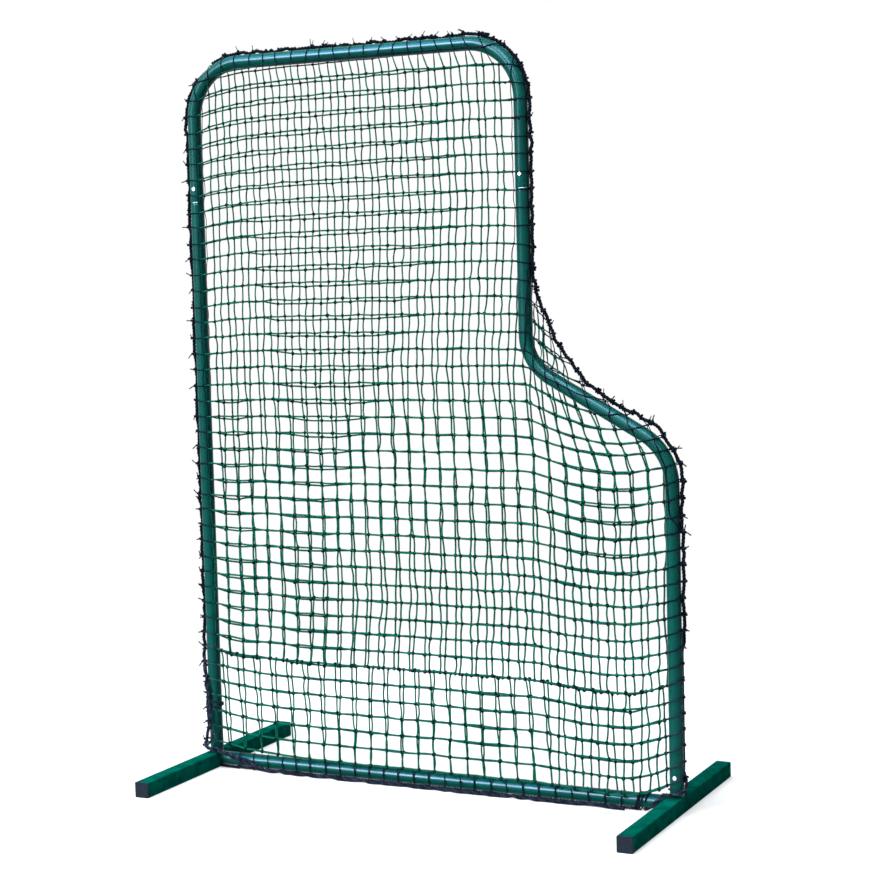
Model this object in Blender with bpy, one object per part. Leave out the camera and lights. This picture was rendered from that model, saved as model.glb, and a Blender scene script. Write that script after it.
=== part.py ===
"""A free-standing pitching screen: a steel tube frame with a lowered corner, on two square feet.

The frame is a hoop that plugs onto a straight left upright and a bent right upright, and both
uprights stand on posts welded to the feet. A crossbar joins the feet. Sprung buttons lock the
four vertical joints. A net in two layers covers the frame, and a rope laces it to the tubes.

Metres, +Z up. The origin is on the floor, midway between the feet. +X is to the right and +Y is
away from a viewer who stands in front, on the side that the buttons face.
"""

import math

import bmesh
import bpy
from mathutils import Vector

# Clearance that pieces which touch or slide in one another keep
GAP = 0.0003

# Frame tube
TUBE_DIAMETER = 0.040
TUBE_WALL = 0.0016
TUBE_SIDES = 20
SCREEN_HEIGHT = 2.134
UPRIGHT_SPACING = 1.480
HOOP_SPACING = 1.060
TOP_CORNER_RADIUS = 0.160

# Lowered corner of the frame: the slope meets the low upright's axis at the shoulder height
SHOULDER_HEIGHT = 0.990
SLOPE_ANGLE = math.radians(29.5)
INNER_BEND_RADIUS = 0.140
SHOULDER_BEND_RADIUS = 0.160
BEND_STEP = math.radians(12)

# Plug joints between the hoop and the uprights
HOOP_RIM_HEIGHT = 1.708
PLUG_LENGTH = 0.085
PLUG_TAPER = 0.004
HOOP_BUTTON_ABOVE_RIM = 0.042

# Feet, the posts that carry the uprights and the stubs that carry the crossbar
FOOT_SIZE = 0.045
FOOT_WALL = 0.002
FOOT_CORNER_RADIUS = 0.0035
FOOT_LENGTH = 0.810
POST_HEIGHT = 0.110
FOOT_BUTTON_HEIGHT = 0.054
STUB_LENGTH = 0.090

# End caps of the feet
CAP_THICKNESS = 0.003
CAP_CHAMFER = 0.0008
CAP_PLUG_LENGTH = 0.016
CAP_PLUG_WALL = 0.0025

# Snap buttons and the V springs that push them out
BUTTON_DIAMETER = 0.008
BUTTON_HOLE_DIAMETER = 0.009
BUTTON_PROUD = 0.0025
BUTTON_DOME = 0.0020
BUTTON_SIDES = 16
FLANGE_DIAMETER = 0.011
FLANGE_THICKNESS = 0.0007
SPRING_LENGTH = 0.055
SPRING_WIDTH = 0.008
SPRING_THICKNESS = 0.0008
SPRING_BEND_RADIUS = 0.0035
SPRING_BEND_STEPS = 6
SPRING_SEAT = 0.007

# Net: each drawn cell holds several real meshes, and the layers are set half a cell apart
NET_MESH = 0.0476
MESHES_PER_CELL = 3
NET_THICKNESS = 0.003
NET_BOTTOM_CLEARANCE = 0.014
SMALLEST_CELL_SHARE = 0.35

# Border rope and the lashing that ties its ends to the crossbar
ROPE_DIAMETER = 0.008
ROPE_BRIDGE_RADIUS = 0.500
ROPE_BEND_STEP = math.radians(9)
ROPE_CLIMB = 0.040
ROPE_BORDER_START = 0.060
LASHING_THICKNESS = 0.004
LASHING_WIDTH = 0.026
LASHING_FROM_UPRIGHT = 0.118

# Sizes that follow from the ones above
TUBE_RADIUS = TUBE_DIAMETER / 2
BORE_RADIUS = TUBE_RADIUS - TUBE_WALL
PLUG_RADIUS = BORE_RADIUS - GAP
PLUG_BORE_RADIUS = PLUG_RADIUS - TUBE_WALL
LEFT_X = -UPRIGHT_SPACING / 2
RIGHT_X = UPRIGHT_SPACING / 2
HOOP_X = LEFT_X + HOOP_SPACING
TOP_Z = SCREEN_HEIGHT - TUBE_RADIUS
CROSSBAR_Z = FOOT_SIZE - TUBE_RADIUS
ROPE_RADIUS = ROPE_DIAMETER / 2
ROPE_OFFSET = TUBE_RADIUS + GAP + ROPE_RADIUS
NET_BOTTOM = FOOT_SIZE + NET_BOTTOM_CLEARANCE
NET_FRONT_Y = -(TUBE_RADIUS + BUTTON_PROUD + GAP + NET_THICKNESS / 2)
NET_BACK_Y = TUBE_RADIUS + GAP + NET_THICKNESS / 2
CELL = NET_MESH * MESHES_PER_CELL


def make_material(name, colour, roughness, metallic=0.0):
    """A plain surface of one colour."""
    material = bpy.data.materials.new(name)
    material.use_nodes = True
    shader = material.node_tree.nodes["Principled BSDF"]
    shader.inputs["Base Color"].default_value = (*colour, 1.0)
    shader.inputs["Roughness"].default_value = roughness
    shader.inputs["Metallic"].default_value = metallic
    return material


def add_object(name, mesh, material, location=(0.0, 0.0, 0.0)):
    """Put a mesh in the scene under the name of its piece."""
    piece = bpy.data.objects.new(name, mesh)
    piece.location = location
    mesh.materials.append(material)
    mesh.shade_smooth()
    mesh.set_sharp_from_angle(angle=math.radians(40))
    bpy.context.scene.collection.objects.link(piece)
    return piece


def loft(name, loops, closed=False):
    """A mesh skinned through loops of equally many points, closed on itself or by end faces."""
    shape = bmesh.new()
    rings = [[shape.verts.new(point) for point in loop] for loop in loops]
    pairs = list(zip(rings, rings[1:]))
    if closed:
        pairs.append((rings[-1], rings[0]))
    else:
        shape.faces.new(rings[0])
        shape.faces.new(rings[-1])
    for first, second in pairs:
        for i in range(len(first)):
            j = (i + 1) % len(first)
            shape.faces.new((first[i], first[j], second[j], second[i]))
    bmesh.ops.recalc_face_normals(shape, faces=shape.faces)
    mesh = bpy.data.meshes.new(name)
    shape.to_mesh(mesh)
    shape.free()
    return mesh


def cut_hole(piece, name, location, rotation, radius, depth):
    """Cut a round hole through a wall of a piece."""
    shape = bmesh.new()
    bmesh.ops.create_cone(shape, cap_ends=True, segments=BUTTON_SIDES, radius1=radius, radius2=radius,
                          depth=depth)
    mesh = bpy.data.meshes.new(name)
    shape.to_mesh(mesh)
    shape.free()
    cutter = bpy.data.objects.new(name, mesh)
    cutter.location = location
    cutter.rotation_euler = rotation
    cutter.hide_render = True
    cutter.display_type = "WIRE"
    bpy.context.scene.collection.objects.link(cutter)
    modifier = piece.modifiers.new(name, "BOOLEAN")
    modifier.operation = "DIFFERENCE"
    modifier.solver = "EXACT"
    modifier.object = cutter


def bent_path(corners, radii, step=BEND_STEP):
    """Points (x, z) and headings of a line in the frame's plane whose corners are rounded."""
    start = Vector(corners[0])
    path = [(start, (Vector(corners[1]) - start).normalized())]
    for i, radius in enumerate(radii, start=1):
        corner = Vector(corners[i])
        before = (Vector(corners[i - 1]) - corner).normalized()
        after = (Vector(corners[i + 1]) - corner).normalized()
        half = before.angle(after) / 2
        centre = corner + (before + after).normalized() * radius / math.sin(half)
        first = corner + before * radius / math.tan(half) - centre
        turn = math.pi - 2 * half
        side = 1.0 if before.x * after.y - before.y * after.x < 0 else -1.0
        count = max(2, math.ceil(turn / step))
        for k in range(count + 1):
            angle = side * turn * k / count
            arm = Vector((first.x * math.cos(angle) - first.y * math.sin(angle),
                          first.x * math.sin(angle) + first.y * math.cos(angle)))
            path.append((centre + arm, Vector((-arm.y, arm.x)).normalized() * side))
    end = Vector(corners[-1])
    path.append((end, (end - Vector(corners[-2])).normalized()))
    return path


def ring(point, heading, radius, sides=TUBE_SIDES):
    """A circle around a point of the frame's plane, square to the heading."""
    loop = []
    for k in range(sides):
        angle = 2 * math.pi * k / sides
        across = radius * math.cos(angle)
        loop.append((point.x - heading.y * across, radius * math.sin(angle), point.y + heading.x * across))
    return loop


def tube(name, stations, material):
    """A tube in the frame's plane through stations of a point, a heading and two radii."""
    outer = [ring(point, heading, radius) for point, heading, radius, bore in stations]
    inner = [ring(point, heading, bore) for point, heading, radius, bore in reversed(stations)]
    return add_object(name, loft(name, outer + inner, closed=True), material)


def plain_stations(path):
    """Stations of the full frame tube along a path."""
    return [(point, heading, TUBE_RADIUS, BORE_RADIUS) for point, heading in path]


def plug_stations(x):
    """Stations of an upright's reduced end, which plugs into the hoop's leg."""
    up = Vector((0.0, 1.0))
    rim = Vector((x, HOOP_RIM_HEIGHT))
    top = Vector((x, HOOP_RIM_HEIGHT + PLUG_LENGTH))
    return [(rim, up, PLUG_RADIUS, PLUG_BORE_RADIUS), (top, up, PLUG_RADIUS, PLUG_BORE_RADIUS)]


def slope_height(x, offset=0.0):
    """Height of the sloping tube's axis at x, or of a line beside it, offset outwards."""
    return SHOULDER_HEIGHT + offset / math.cos(SLOPE_ANGLE) + (RIGHT_X - x) * math.tan(SLOPE_ANGLE)


def front_hole(piece, name, x, z):
    """A button hole in the front wall of a tube."""
    place = (x, -TUBE_RADIUS, z)
    cut_hole(piece, name, place, (math.pi / 2, 0.0, 0.0), BUTTON_HOLE_DIAMETER / 2, TUBE_RADIUS)


def make_hoop(material):
    """The inverted U that forms the top of the frame."""
    rim = HOOP_RIM_HEIGHT + GAP
    corners = [(LEFT_X, rim), (LEFT_X, TOP_Z), (HOOP_X, TOP_Z), (HOOP_X, rim)]
    path = bent_path(corners, [TOP_CORNER_RADIUS, TOP_CORNER_RADIUS])
    hoop = tube("top_hoop", plain_stations(path), material)
    for side, x in (("left", LEFT_X), ("right", HOOP_X)):
        front_hole(hoop, f"hoop_{side}_button_hole", x, HOOP_RIM_HEIGHT + HOOP_BUTTON_ABOVE_RIM)


def make_uprights(material):
    """The straight left upright and the bent right one, both reduced at the top."""
    foot_top = FOOT_SIZE + GAP
    neck = HOOP_RIM_HEIGHT - PLUG_TAPER
    left_path = bent_path([(LEFT_X, foot_top), (LEFT_X, neck)], [])
    left = tube("left_upright", plain_stations(left_path) + plug_stations(LEFT_X), material)
    corners = [(RIGHT_X, foot_top), (RIGHT_X, SHOULDER_HEIGHT), (HOOP_X, slope_height(HOOP_X)),
               (HOOP_X, neck)]
    right_path = bent_path(corners, [SHOULDER_BEND_RADIUS, INNER_BEND_RADIUS])
    right = tube("right_upright", plain_stations(right_path) + plug_stations(HOOP_X), material)
    for piece, foot_x, plug_x in ((left, LEFT_X, LEFT_X), (right, RIGHT_X, HOOP_X)):
        front_hole(piece, f"{piece.name}_foot_hole", foot_x, FOOT_SIZE + FOOT_BUTTON_HEIGHT)
        front_hole(piece, f"{piece.name}_plug_hole", plug_x, HOOP_RIM_HEIGHT + HOOP_BUTTON_ABOVE_RIM)


def straight_stations(start, end, radius, bore):
    """Stations of a plain straight tube."""
    heading = (Vector(end) - Vector(start)).normalized()
    return [(Vector(start), heading, radius, bore), (Vector(end), heading, radius, bore)]


def make_crossbar(material):
    """The round bar between the feet, and the stubs on the feet that it fits over."""
    reach = UPRIGHT_SPACING / 2 - FOOT_SIZE / 2 - GAP
    bar = straight_stations((-reach, CROSSBAR_Z), (reach, CROSSBAR_Z), TUBE_RADIUS, BORE_RADIUS)
    tube("crossbar", bar, material)
    for side, sign in (("left", -1.0), ("right", 1.0)):
        ends = (sign * reach, CROSSBAR_Z), (sign * (reach - STUB_LENGTH), CROSSBAR_Z)
        stub = straight_stations(*ends, PLUG_RADIUS, PLUG_BORE_RADIUS)
        tube(f"{side}_crossbar_stub", stub, material)


def square_loop(half, corner, y, steps=3):
    """A square with rounded corners, square to Y and centred on the Y axis."""
    loop = []
    for quarter in range(4):
        for k in range(steps + 1):
            angle = math.pi / 2 * (quarter + k / steps)
            out = half - corner
            x = math.copysign(out, math.cos(math.pi / 2 * (quarter + 0.5))) + corner * math.cos(angle)
            z = math.copysign(out, math.sin(math.pi / 2 * (quarter + 0.5))) + corner * math.sin(angle)
            loop.append((x, y, z))
    return loop


def make_feet(paint, plastic):
    """The two square feet with their posts and end caps."""
    half = FOOT_SIZE / 2
    bore = half - FOOT_WALL
    bore_corner = FOOT_CORNER_RADIUS - FOOT_WALL
    end = FOOT_LENGTH / 2 - CAP_THICKNESS - GAP
    loops = [square_loop(half, FOOT_CORNER_RADIUS, -end), square_loop(half, FOOT_CORNER_RADIUS, end),
             square_loop(bore, bore_corner, end), square_loop(bore, bore_corner, -end)]
    foot_mesh = loft("foot", loops, closed=True)
    cap_mesh = make_cap_mesh()
    for side, x in (("left", LEFT_X), ("right", RIGHT_X)):
        add_object(f"{side}_foot", foot_mesh.copy(), paint, (x, 0.0, half))
        for place, turn in (("front", 0.0), ("back", math.pi)):
            y = -math.cos(turn) * FOOT_LENGTH / 2
            cap = add_object(f"{side}_foot_{place}_cap", cap_mesh.copy(), plastic, (x, y, half))
            cap.rotation_euler = (0.0, 0.0, turn)
        start = FOOT_SIZE + GAP
        post = straight_stations((x, start), (x, start + POST_HEIGHT), PLUG_RADIUS, PLUG_BORE_RADIUS)
        post_piece = tube(f"{side}_foot_post", post, paint)
        front_hole(post_piece, f"{side}_post_button_hole", x, FOOT_SIZE + FOOT_BUTTON_HEIGHT)


def make_cap_mesh():
    """An end cap: a chamfered plate at y = 0 and, behind it, a hollow plug that fits the foot."""
    half = FOOT_SIZE / 2
    plug = half - FOOT_WALL - GAP
    plug_corner = FOOT_CORNER_RADIUS - FOOT_WALL
    hollow = plug - CAP_PLUG_WALL
    hollow_corner = plug_corner / 2
    plug_end = CAP_THICKNESS + CAP_PLUG_LENGTH
    loops = [square_loop(half - CAP_CHAMFER, FOOT_CORNER_RADIUS, 0.0),
             square_loop(half, FOOT_CORNER_RADIUS, CAP_CHAMFER),
             square_loop(half, FOOT_CORNER_RADIUS, CAP_THICKNESS),
             square_loop(plug, plug_corner, CAP_THICKNESS),
             square_loop(plug, plug_corner, plug_end),
             square_loop(hollow, hollow_corner, plug_end),
             square_loop(hollow, hollow_corner, CAP_THICKNESS)]
    return loft("foot_cap", loops)


def flat_reach(half_width):
    """How far from a plug's axis a flat piece of this half width may lie inside the round bore."""
    facet = math.cos(math.pi / TUBE_SIDES)
    return math.sqrt((PLUG_BORE_RADIUS * facet) ** 2 - half_width ** 2) - GAP


def make_button_mesh():
    """A snap button that points along -Y, with y = 0 on the tube's axis."""
    wall = flat_reach(FLANGE_DIAMETER / 2)
    flange = FLANGE_DIAMETER / 2
    stem = BUTTON_DIAMETER / 2
    tip = TUBE_RADIUS + BUTTON_PROUD
    shoulder = tip - BUTTON_DOME
    profile = [(flange, wall - FLANGE_THICKNESS), (flange, wall), (stem, wall), (stem, shoulder)]
    for degrees in (30, 60, 80):
        angle = math.radians(degrees)
        profile.append((stem * math.cos(angle), shoulder + (tip - shoulder) * math.sin(angle)))
    loops = []
    for radius, reach in profile:
        turns = [2 * math.pi * k / BUTTON_SIDES for k in range(BUTTON_SIDES)]
        loops.append([(radius * math.cos(turn), -reach, radius * math.sin(turn)) for turn in turns])
    return loft("snap_button", loops)


def offset_line(line, distance):
    """The line of points (y, z) moved sideways by a distance, with its corners mitred."""
    moved = []
    for i, point in enumerate(line):
        before = (point - line[i - 1]).normalized() if i else (line[1] - point).normalized()
        after = (line[i + 1] - point).normalized() if i + 1 < len(line) else before
        side = Vector((-before.y - after.y, before.x + after.x)).normalized()
        stretch = 1.0 / max(0.5, side.dot(Vector((-before.y, before.x))))
        moved.append(point + side * distance * stretch)
    return moved


def make_spring_mesh():
    """A V of spring strip inside a plug: z = 0 is the button's height, and the bend is at -Z."""
    seat = flat_reach(FLANGE_DIAMETER / 2) - FLANGE_THICKNESS - GAP - SPRING_THICKNESS / 2
    heel = flat_reach(SPRING_WIDTH / 2) - SPRING_THICKNESS
    line = [Vector((-seat, SPRING_SEAT)), Vector((-seat, -SPRING_SEAT))]
    for k in range(SPRING_BEND_STEPS + 1):
        angle = math.radians(195 + 150 * k / SPRING_BEND_STEPS)
        line.append(Vector((SPRING_BEND_RADIUS * math.cos(angle),
                            -SPRING_LENGTH + SPRING_BEND_RADIUS * math.sin(angle))))
    line.append(Vector((heel, 0.0)))
    outline = offset_line(line, SPRING_THICKNESS / 2) + offset_line(line, -SPRING_THICKNESS / 2)[::-1]
    edges = (-SPRING_WIDTH / 2, SPRING_WIDTH / 2)
    return loft("snap_spring", [[(x, point.x, point.y) for point in outline] for x in edges])


def make_snaps(steel, spring_steel):
    """The four snap buttons and their springs, two at the hoop and two at the feet."""
    button_mesh = make_button_mesh()
    spring_mesh = make_spring_mesh()
    hoop_z = HOOP_RIM_HEIGHT + HOOP_BUTTON_ABOVE_RIM
    foot_z = FOOT_SIZE + FOOT_BUTTON_HEIGHT
    places = {"upper_left": (LEFT_X, hoop_z, 0.0), "upper_right": (HOOP_X, hoop_z, 0.0),
              "lower_left": (LEFT_X, foot_z, math.pi), "lower_right": (RIGHT_X, foot_z, math.pi)}
    for place, (x, z, turn) in places.items():
        add_object(f"snap_button_{place}", button_mesh.copy(), steel, (x, 0.0, z))
        spring = add_object(f"snap_spring_{place}", spring_mesh.copy(), spring_steel, (x, 0.0, z))
        spring.rotation_euler = (0.0, turn, 0.0)


def border_corners(bottom):
    """Corners and radii of the line that the rope follows around the frame, from the bottom left."""
    left = LEFT_X - ROPE_OFFSET
    top = TOP_Z + ROPE_OFFSET
    inner = HOOP_X + ROPE_OFFSET
    right = RIGHT_X + ROPE_OFFSET
    corners = [(left, bottom), (left, top), (inner, top), (inner, slope_height(inner, ROPE_OFFSET)),
               (right, slope_height(right, ROPE_OFFSET)), (right, bottom)]
    round_top = TOP_CORNER_RADIUS + ROPE_OFFSET
    radii = [round_top, round_top, ROPE_BRIDGE_RADIUS, SHOULDER_BEND_RADIUS + ROPE_OFFSET]
    return corners, radii


def cut_along(shape, point, normal):
    """Split the faces of a flat shape along a straight line."""
    geometry = shape.verts[:] + shape.edges[:] + shape.faces[:]
    bmesh.ops.bisect_plane(shape, geom=geometry, dist=1e-6, plane_co=point, plane_no=normal)


def join_small_cells(shape):
    """Open the thin slivers that the curved border leaves into the cells beside them."""
    limit = SMALLEST_CELL_SHARE * CELL * CELL
    while True:
        small = [face for face in shape.faces if face.calc_area() < limit]
        shared = [[edge for edge in face.edges if len(edge.link_faces) == 2] for face in small]
        shared = [edges for edges in shared if edges]
        if not shared:
            return
        longest = max(shared[0], key=lambda edge: edge.calc_length())
        bmesh.ops.dissolve_edges(shape, edges=[longest], use_verts=True)


def make_net_layer(name, y, shift, material):
    """One layer of the net: a flat grid of square cells within the line of the rope."""
    corners, radii = border_corners(NET_BOTTOM)
    border = [point for point, heading in bent_path(corners, radii)]
    shape = bmesh.new()
    shape.faces.new([shape.verts.new((point.x, y, point.y)) for point in border])
    left = corners[0][0]
    width = corners[-1][0] - left
    height = corners[1][1] - NET_BOTTOM
    for k in range(int(width / CELL - shift) + 1):
        cut_along(shape, (left + (k + shift) * CELL, y, 0.0), (1.0, 0.0, 0.0))
    for k in range(int(height / CELL - shift) + 1):
        cut_along(shape, (0.0, y, NET_BOTTOM + (k + shift) * CELL), (0.0, 0.0, 1.0))
    join_small_cells(shape)
    mesh = bpy.data.meshes.new(name)
    shape.to_mesh(mesh)
    shape.free()
    layer = add_object(name, mesh, material)
    strands = layer.modifiers.new("strands", "WIREFRAME")
    strands.thickness = NET_THICKNESS
    strands.use_even_offset = False
    strands.use_replace = True
    strands.use_boundary = True


def rope_route():
    """Points of the border rope, from its tied end at the crossbar, round the frame and back.

    They are chosen by hand where the rope passes over a foot, and follow the frame elsewhere.
    """
    front = -(TUBE_RADIUS + ROPE_RADIUS + 0.0025)
    floor = ROPE_RADIUS + 0.0006
    on_foot = FOOT_SIZE + ROPE_RADIUS + 0.0008
    inside = UPRIGHT_SPACING / 2 - FOOT_SIZE / 2
    step_down = [(inside - 0.001, front, on_foot), (inside - 0.008, front - 0.0005, on_foot - 0.003),
                 (inside - 0.0135, front - 0.001, on_foot - 0.010),
                 (inside - 0.018, front - 0.0015, on_foot - 0.020)]
    beside_foot = [(inside - 0.028, front, floor + 0.010), (inside - 0.045, front, floor + 0.002),
                   (inside - 0.070, front, floor)]
    around_post = []
    for k in range(5):
        angle = math.radians(270 + 90 * k / 4)
        x = RIGHT_X + ROPE_OFFSET * math.cos(angle)
        around_post.append((x, ROPE_OFFSET * math.sin(angle), on_foot + ROPE_CLIMB * (k / 4) ** 2))
    corners, radii = border_corners(on_foot + ROPE_BORDER_START)
    border = [(point.x, 0.0, point.y) for point, heading in bent_path(corners, radii, ROPE_BEND_STEP)]
    near_left = [(-x, y, z) for x, y, z in beside_foot[::-1] + step_down[::-1] + around_post]
    near_right = around_post[::-1] + step_down + [(inside - 0.032, front, CROSSBAR_Z + 0.003),
                                                  (inside - 0.060, front, CROSSBAR_Z)]
    tied_end = [(inside - 0.150, front, floor), (0.0, front, floor)]
    return [(inside - 0.040, front, floor)] + tied_end + near_left + border + near_right


def smooth_curve(points, reach=0.25):
    """Points of a smooth line through the given ones, closer together where it turns."""
    places = [Vector(point) for point in points]
    line = [places[0]]
    for i in range(len(places) - 1):
        before = places[max(i - 1, 0)]
        start = places[i]
        end = places[i + 1]
        after = places[min(i + 2, len(places) - 1)]
        length = (end - start).length
        bend = (end - before).angle(after - start) if i else 0.0
        count = 2 if bend > reach and length > ROPE_DIAMETER else 1
        lead = (end - before).normalized() * length / 3
        lag = (after - start).normalized() * length / 3
        for k in range(1, count + 1):
            t = k / count
            line.append(start * (1 - t) ** 3 + (start + lead) * 3 * t * (1 - t) ** 2
                        + (end - lag) * 3 * t * t * (1 - t) + end * t ** 3)
    return line


def make_rope(material):
    """The border rope as a tube along its route."""
    line = smooth_curve(rope_route())
    curve = bpy.data.curves.new("border_rope", "CURVE")
    curve.dimensions = "3D"
    curve.bevel_depth = ROPE_RADIUS
    curve.bevel_resolution = 2
    curve.use_fill_caps = True
    spline = curve.splines.new("POLY")
    spline.points.add(len(line) - 1)
    for target, point in zip(spline.points, line):
        target.co = (*point, 1.0)
    curve.materials.append(material)
    rope = bpy.data.objects.new("border_rope", curve)
    bpy.context.scene.collection.objects.link(rope)


def make_lashing(material):
    """The turns of cord around the crossbar's right end, as one band."""
    start = RIGHT_X - LASHING_FROM_UPRIGHT - LASHING_WIDTH / 2
    inner = TUBE_RADIUS + GAP
    outer = inner + LASHING_THICKNESS
    ends = (start, CROSSBAR_Z), (start + LASHING_WIDTH, CROSSBAR_Z)
    tube("crossbar_lashing", straight_stations(*ends, outer, inner), material)


def make_screen():
    """Empty the scene and build every piece of the screen."""
    for old in list(bpy.data.objects):
        bpy.data.objects.remove(old, do_unlink=True)
    frame_paint = make_material("frame_paint", (0.0, 0.125, 0.105), 0.3)
    foot_paint = make_material("foot_paint", (0.0, 0.125, 0.090), 0.45)
    cap_plastic = make_material("cap_plastic", (0.018, 0.026, 0.045), 0.55)
    button_steel = make_material("button_steel", (0.80, 0.81, 0.82), 0.2, 1.0)
    spring_steel = make_material("spring_steel", (0.42, 0.43, 0.45), 0.35, 1.0)
    net_twine = make_material("net_twine", (0.004, 0.075, 0.048), 0.8)
    rope_fibre = make_material("rope_fibre", (0.014, 0.018, 0.040), 0.75)
    make_hoop(frame_paint)
    make_uprights(frame_paint)
    make_crossbar(frame_paint)
    make_feet(foot_paint, cap_plastic)
    make_snaps(button_steel, spring_steel)
    make_net_layer("net_front", NET_FRONT_Y, 1.0, net_twine)
    make_net_layer("net_back", NET_BACK_Y, 0.5, net_twine)
    make_rope(rope_fibre)
    make_lashing(rope_fibre)


make_screen()
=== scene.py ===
"""The pitching screen as it looks: tubes, feet, a double layer of net, the border rope and its lacing."""

import math
import random

import bpy
import numpy as np
from mathutils import Matrix, Vector


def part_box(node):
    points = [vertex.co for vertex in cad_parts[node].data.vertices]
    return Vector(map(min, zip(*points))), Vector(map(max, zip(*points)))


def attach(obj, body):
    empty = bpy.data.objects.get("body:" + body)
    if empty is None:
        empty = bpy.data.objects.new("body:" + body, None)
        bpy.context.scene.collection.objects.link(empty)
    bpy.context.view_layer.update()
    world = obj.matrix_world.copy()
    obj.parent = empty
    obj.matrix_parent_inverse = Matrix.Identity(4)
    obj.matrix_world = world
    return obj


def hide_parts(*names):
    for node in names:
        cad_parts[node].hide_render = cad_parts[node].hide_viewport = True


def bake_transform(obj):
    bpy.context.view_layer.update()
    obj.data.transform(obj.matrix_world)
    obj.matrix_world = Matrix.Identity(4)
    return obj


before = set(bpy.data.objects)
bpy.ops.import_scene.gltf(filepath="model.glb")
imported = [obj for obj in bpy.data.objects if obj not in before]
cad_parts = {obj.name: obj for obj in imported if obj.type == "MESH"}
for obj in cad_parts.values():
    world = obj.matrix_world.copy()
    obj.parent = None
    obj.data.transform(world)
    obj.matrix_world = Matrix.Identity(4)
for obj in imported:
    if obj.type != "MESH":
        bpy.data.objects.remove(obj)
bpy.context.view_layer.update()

# Sizes of the frame, in metres, as in the part
TUBE_RADIUS = 0.02
TUBE_WALL = 0.0016
SCREEN_HEIGHT = 2.134
LEFT_X = -0.74
RIGHT_X = 0.74
HOOP_X = 0.32
TOP_Z = SCREEN_HEIGHT - TUBE_RADIUS
TOP_CORNER_RADIUS = 0.16
SHOULDER_HEIGHT = 0.99
SLOPE_ANGLE = math.radians(29.5)
INNER_BEND_RADIUS = 0.14
SHOULDER_BEND_RADIUS = 0.16
HOOP_RIM_HEIGHT = 1.708
FOOT_SIZE = 0.045
CROSSBAR_Z = 0.025
CROSSBAR_HALF = 0.7172
BORE_RADIUS = TUBE_RADIUS - TUBE_WALL
PLUG_RADIUS = 0.0181
PLUG_BORE_RADIUS = 0.0165
PLUG_LENGTH = 0.085
BUTTON_HOLE_RADIUS = 0.0045
HOOP_BUTTON_Z = 1.75
FOOT_BUTTON_Z = 0.099
GAP = 0.0003
SPRING_LENGTH = 0.055
SPRING_WIDTH = 0.008
SPRING_THICKNESS = 0.0008
SPRING_BEND_RADIUS = 0.0035
SPRING_SEAT = 0.007

# The camera, found from the frame's corners in the photo
CAMERA_PLACE = (2.506, -4.991, 1.5005)
CAMERA_YAW = math.radians(26.3)
CAMERA_PITCH = math.radians(4.96)
CAMERA_ROLL = math.radians(-1.5)
CAMERA_PIXELS = 1965.6
PHOTO_WIDTH = 875
SENSOR_WIDTH = 36.0

# The net
TWINE_RADIUS = 0.0022
WRAP_RADIUS = TUBE_RADIUS + TWINE_RADIUS
FRONT_Y = -0.0235
BACK_Y = 0.0218
ROW_COUNT = 43
SEAM_ROW = 36
TOP_ROW_Z = 2.103
ROW_PITCH = 0.049
LEFT_TUBE_ROW_Z = 2.057
LEFT_TUBE_ROW_PITCH = 0.0471
RIGHT_TUBE_ROW_Z = 0.95
RIGHT_TUBE_FIRST_ROW = 23
RIGHT_TUBE_ROW_PITCH = 0.0456
LEFT_LIFT_REACH = 0.115
HOOP_ROW_COUNT = 18
HOOP_ROW_DIP = 0.006
HOOP_DIP_REACH = 0.08
SLOPE_FIRST_ROW = 10
SLOPE_FIRST_COLUMN = 22
SLOPE_COLUMN_SHIFT = 0.0125

# The border rope
ROPE_RADIUS = 0.0048
ROPE_STRAND_RADIUS = 0.0027
ROPE_TURN = 0.03
ROPE_OFFSET = 0.027
LACING_PITCH = 0.024
LOW_ROPE_Y = -0.024
LOW_ROPE_Z = 0.007

# Columns of the net as the photo shows them in the frame's plane: height, then (column, X) pairs
FRONT_COLUMNS = (
    (0.42, ((0, -0.728), (1, -0.68), (12, -0.151), (29, 0.695))),
    (0.53, ((0, -0.725), (12, -0.139), (23, 0.4), (30, 0.743))),
    (0.74, ((0, -0.727), (12, -0.145), (22, 0.342), (30, 0.734))),
    (0.97, ((0, -0.737), (12, -0.151), (22, 0.335), (30, 0.72))),
    (1.21, ((0, -0.74), (12, -0.162), (22, 0.308))),
    (1.42, ((0, -0.74), (12, -0.158), (21, 0.276))),
    (1.66, ((0, -0.737), (12, -0.148), (21, 0.295))),
    (2.05, ((0, -0.737), (3, -0.592), (12, -0.155), (20, 0.24))),
    (2.1, ((0, -0.738), (3, -0.596), (12, -0.166), (20, 0.211))),
)
BACK_COLUMNS = (
    (0.42, ((0, -0.727), (1, -0.68), (12, -0.165), (29, 0.667))),
    (0.53, ((0, -0.728), (12, -0.157), (23, 0.371), (30, 0.711))),
    (0.74, ((0, -0.728), (12, -0.153), (22, 0.331), (30, 0.718))),
    (0.97, ((0, -0.721), (7, -0.387), (12, -0.15), (22, 0.334), (30, 0.716))),
    (1.21, ((0, -0.719), (12, -0.146), (22, 0.329))),
    (1.42, ((0, -0.716), (12, -0.134), (21, 0.297))),
    (1.66, ((0, -0.714), (12, -0.127), (21, 0.314))),
    (2.05, ((0, -0.714), (3, -0.565), (12, -0.132), (20, 0.258))),
    (2.1, ((0, -0.716), (3, -0.57), (12, -0.138), (20, 0.252))),
)
LOW_FRONT_COLUMNS = (
    (0.1, ((0, -0.7), (4, -0.468), (20, 0.367), (21, 0.391), (27, 0.686))),
    (0.33, ((0, -0.712), (4, -0.483), (9, -0.206), (20, 0.35), (27, 0.692))),
)
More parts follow.
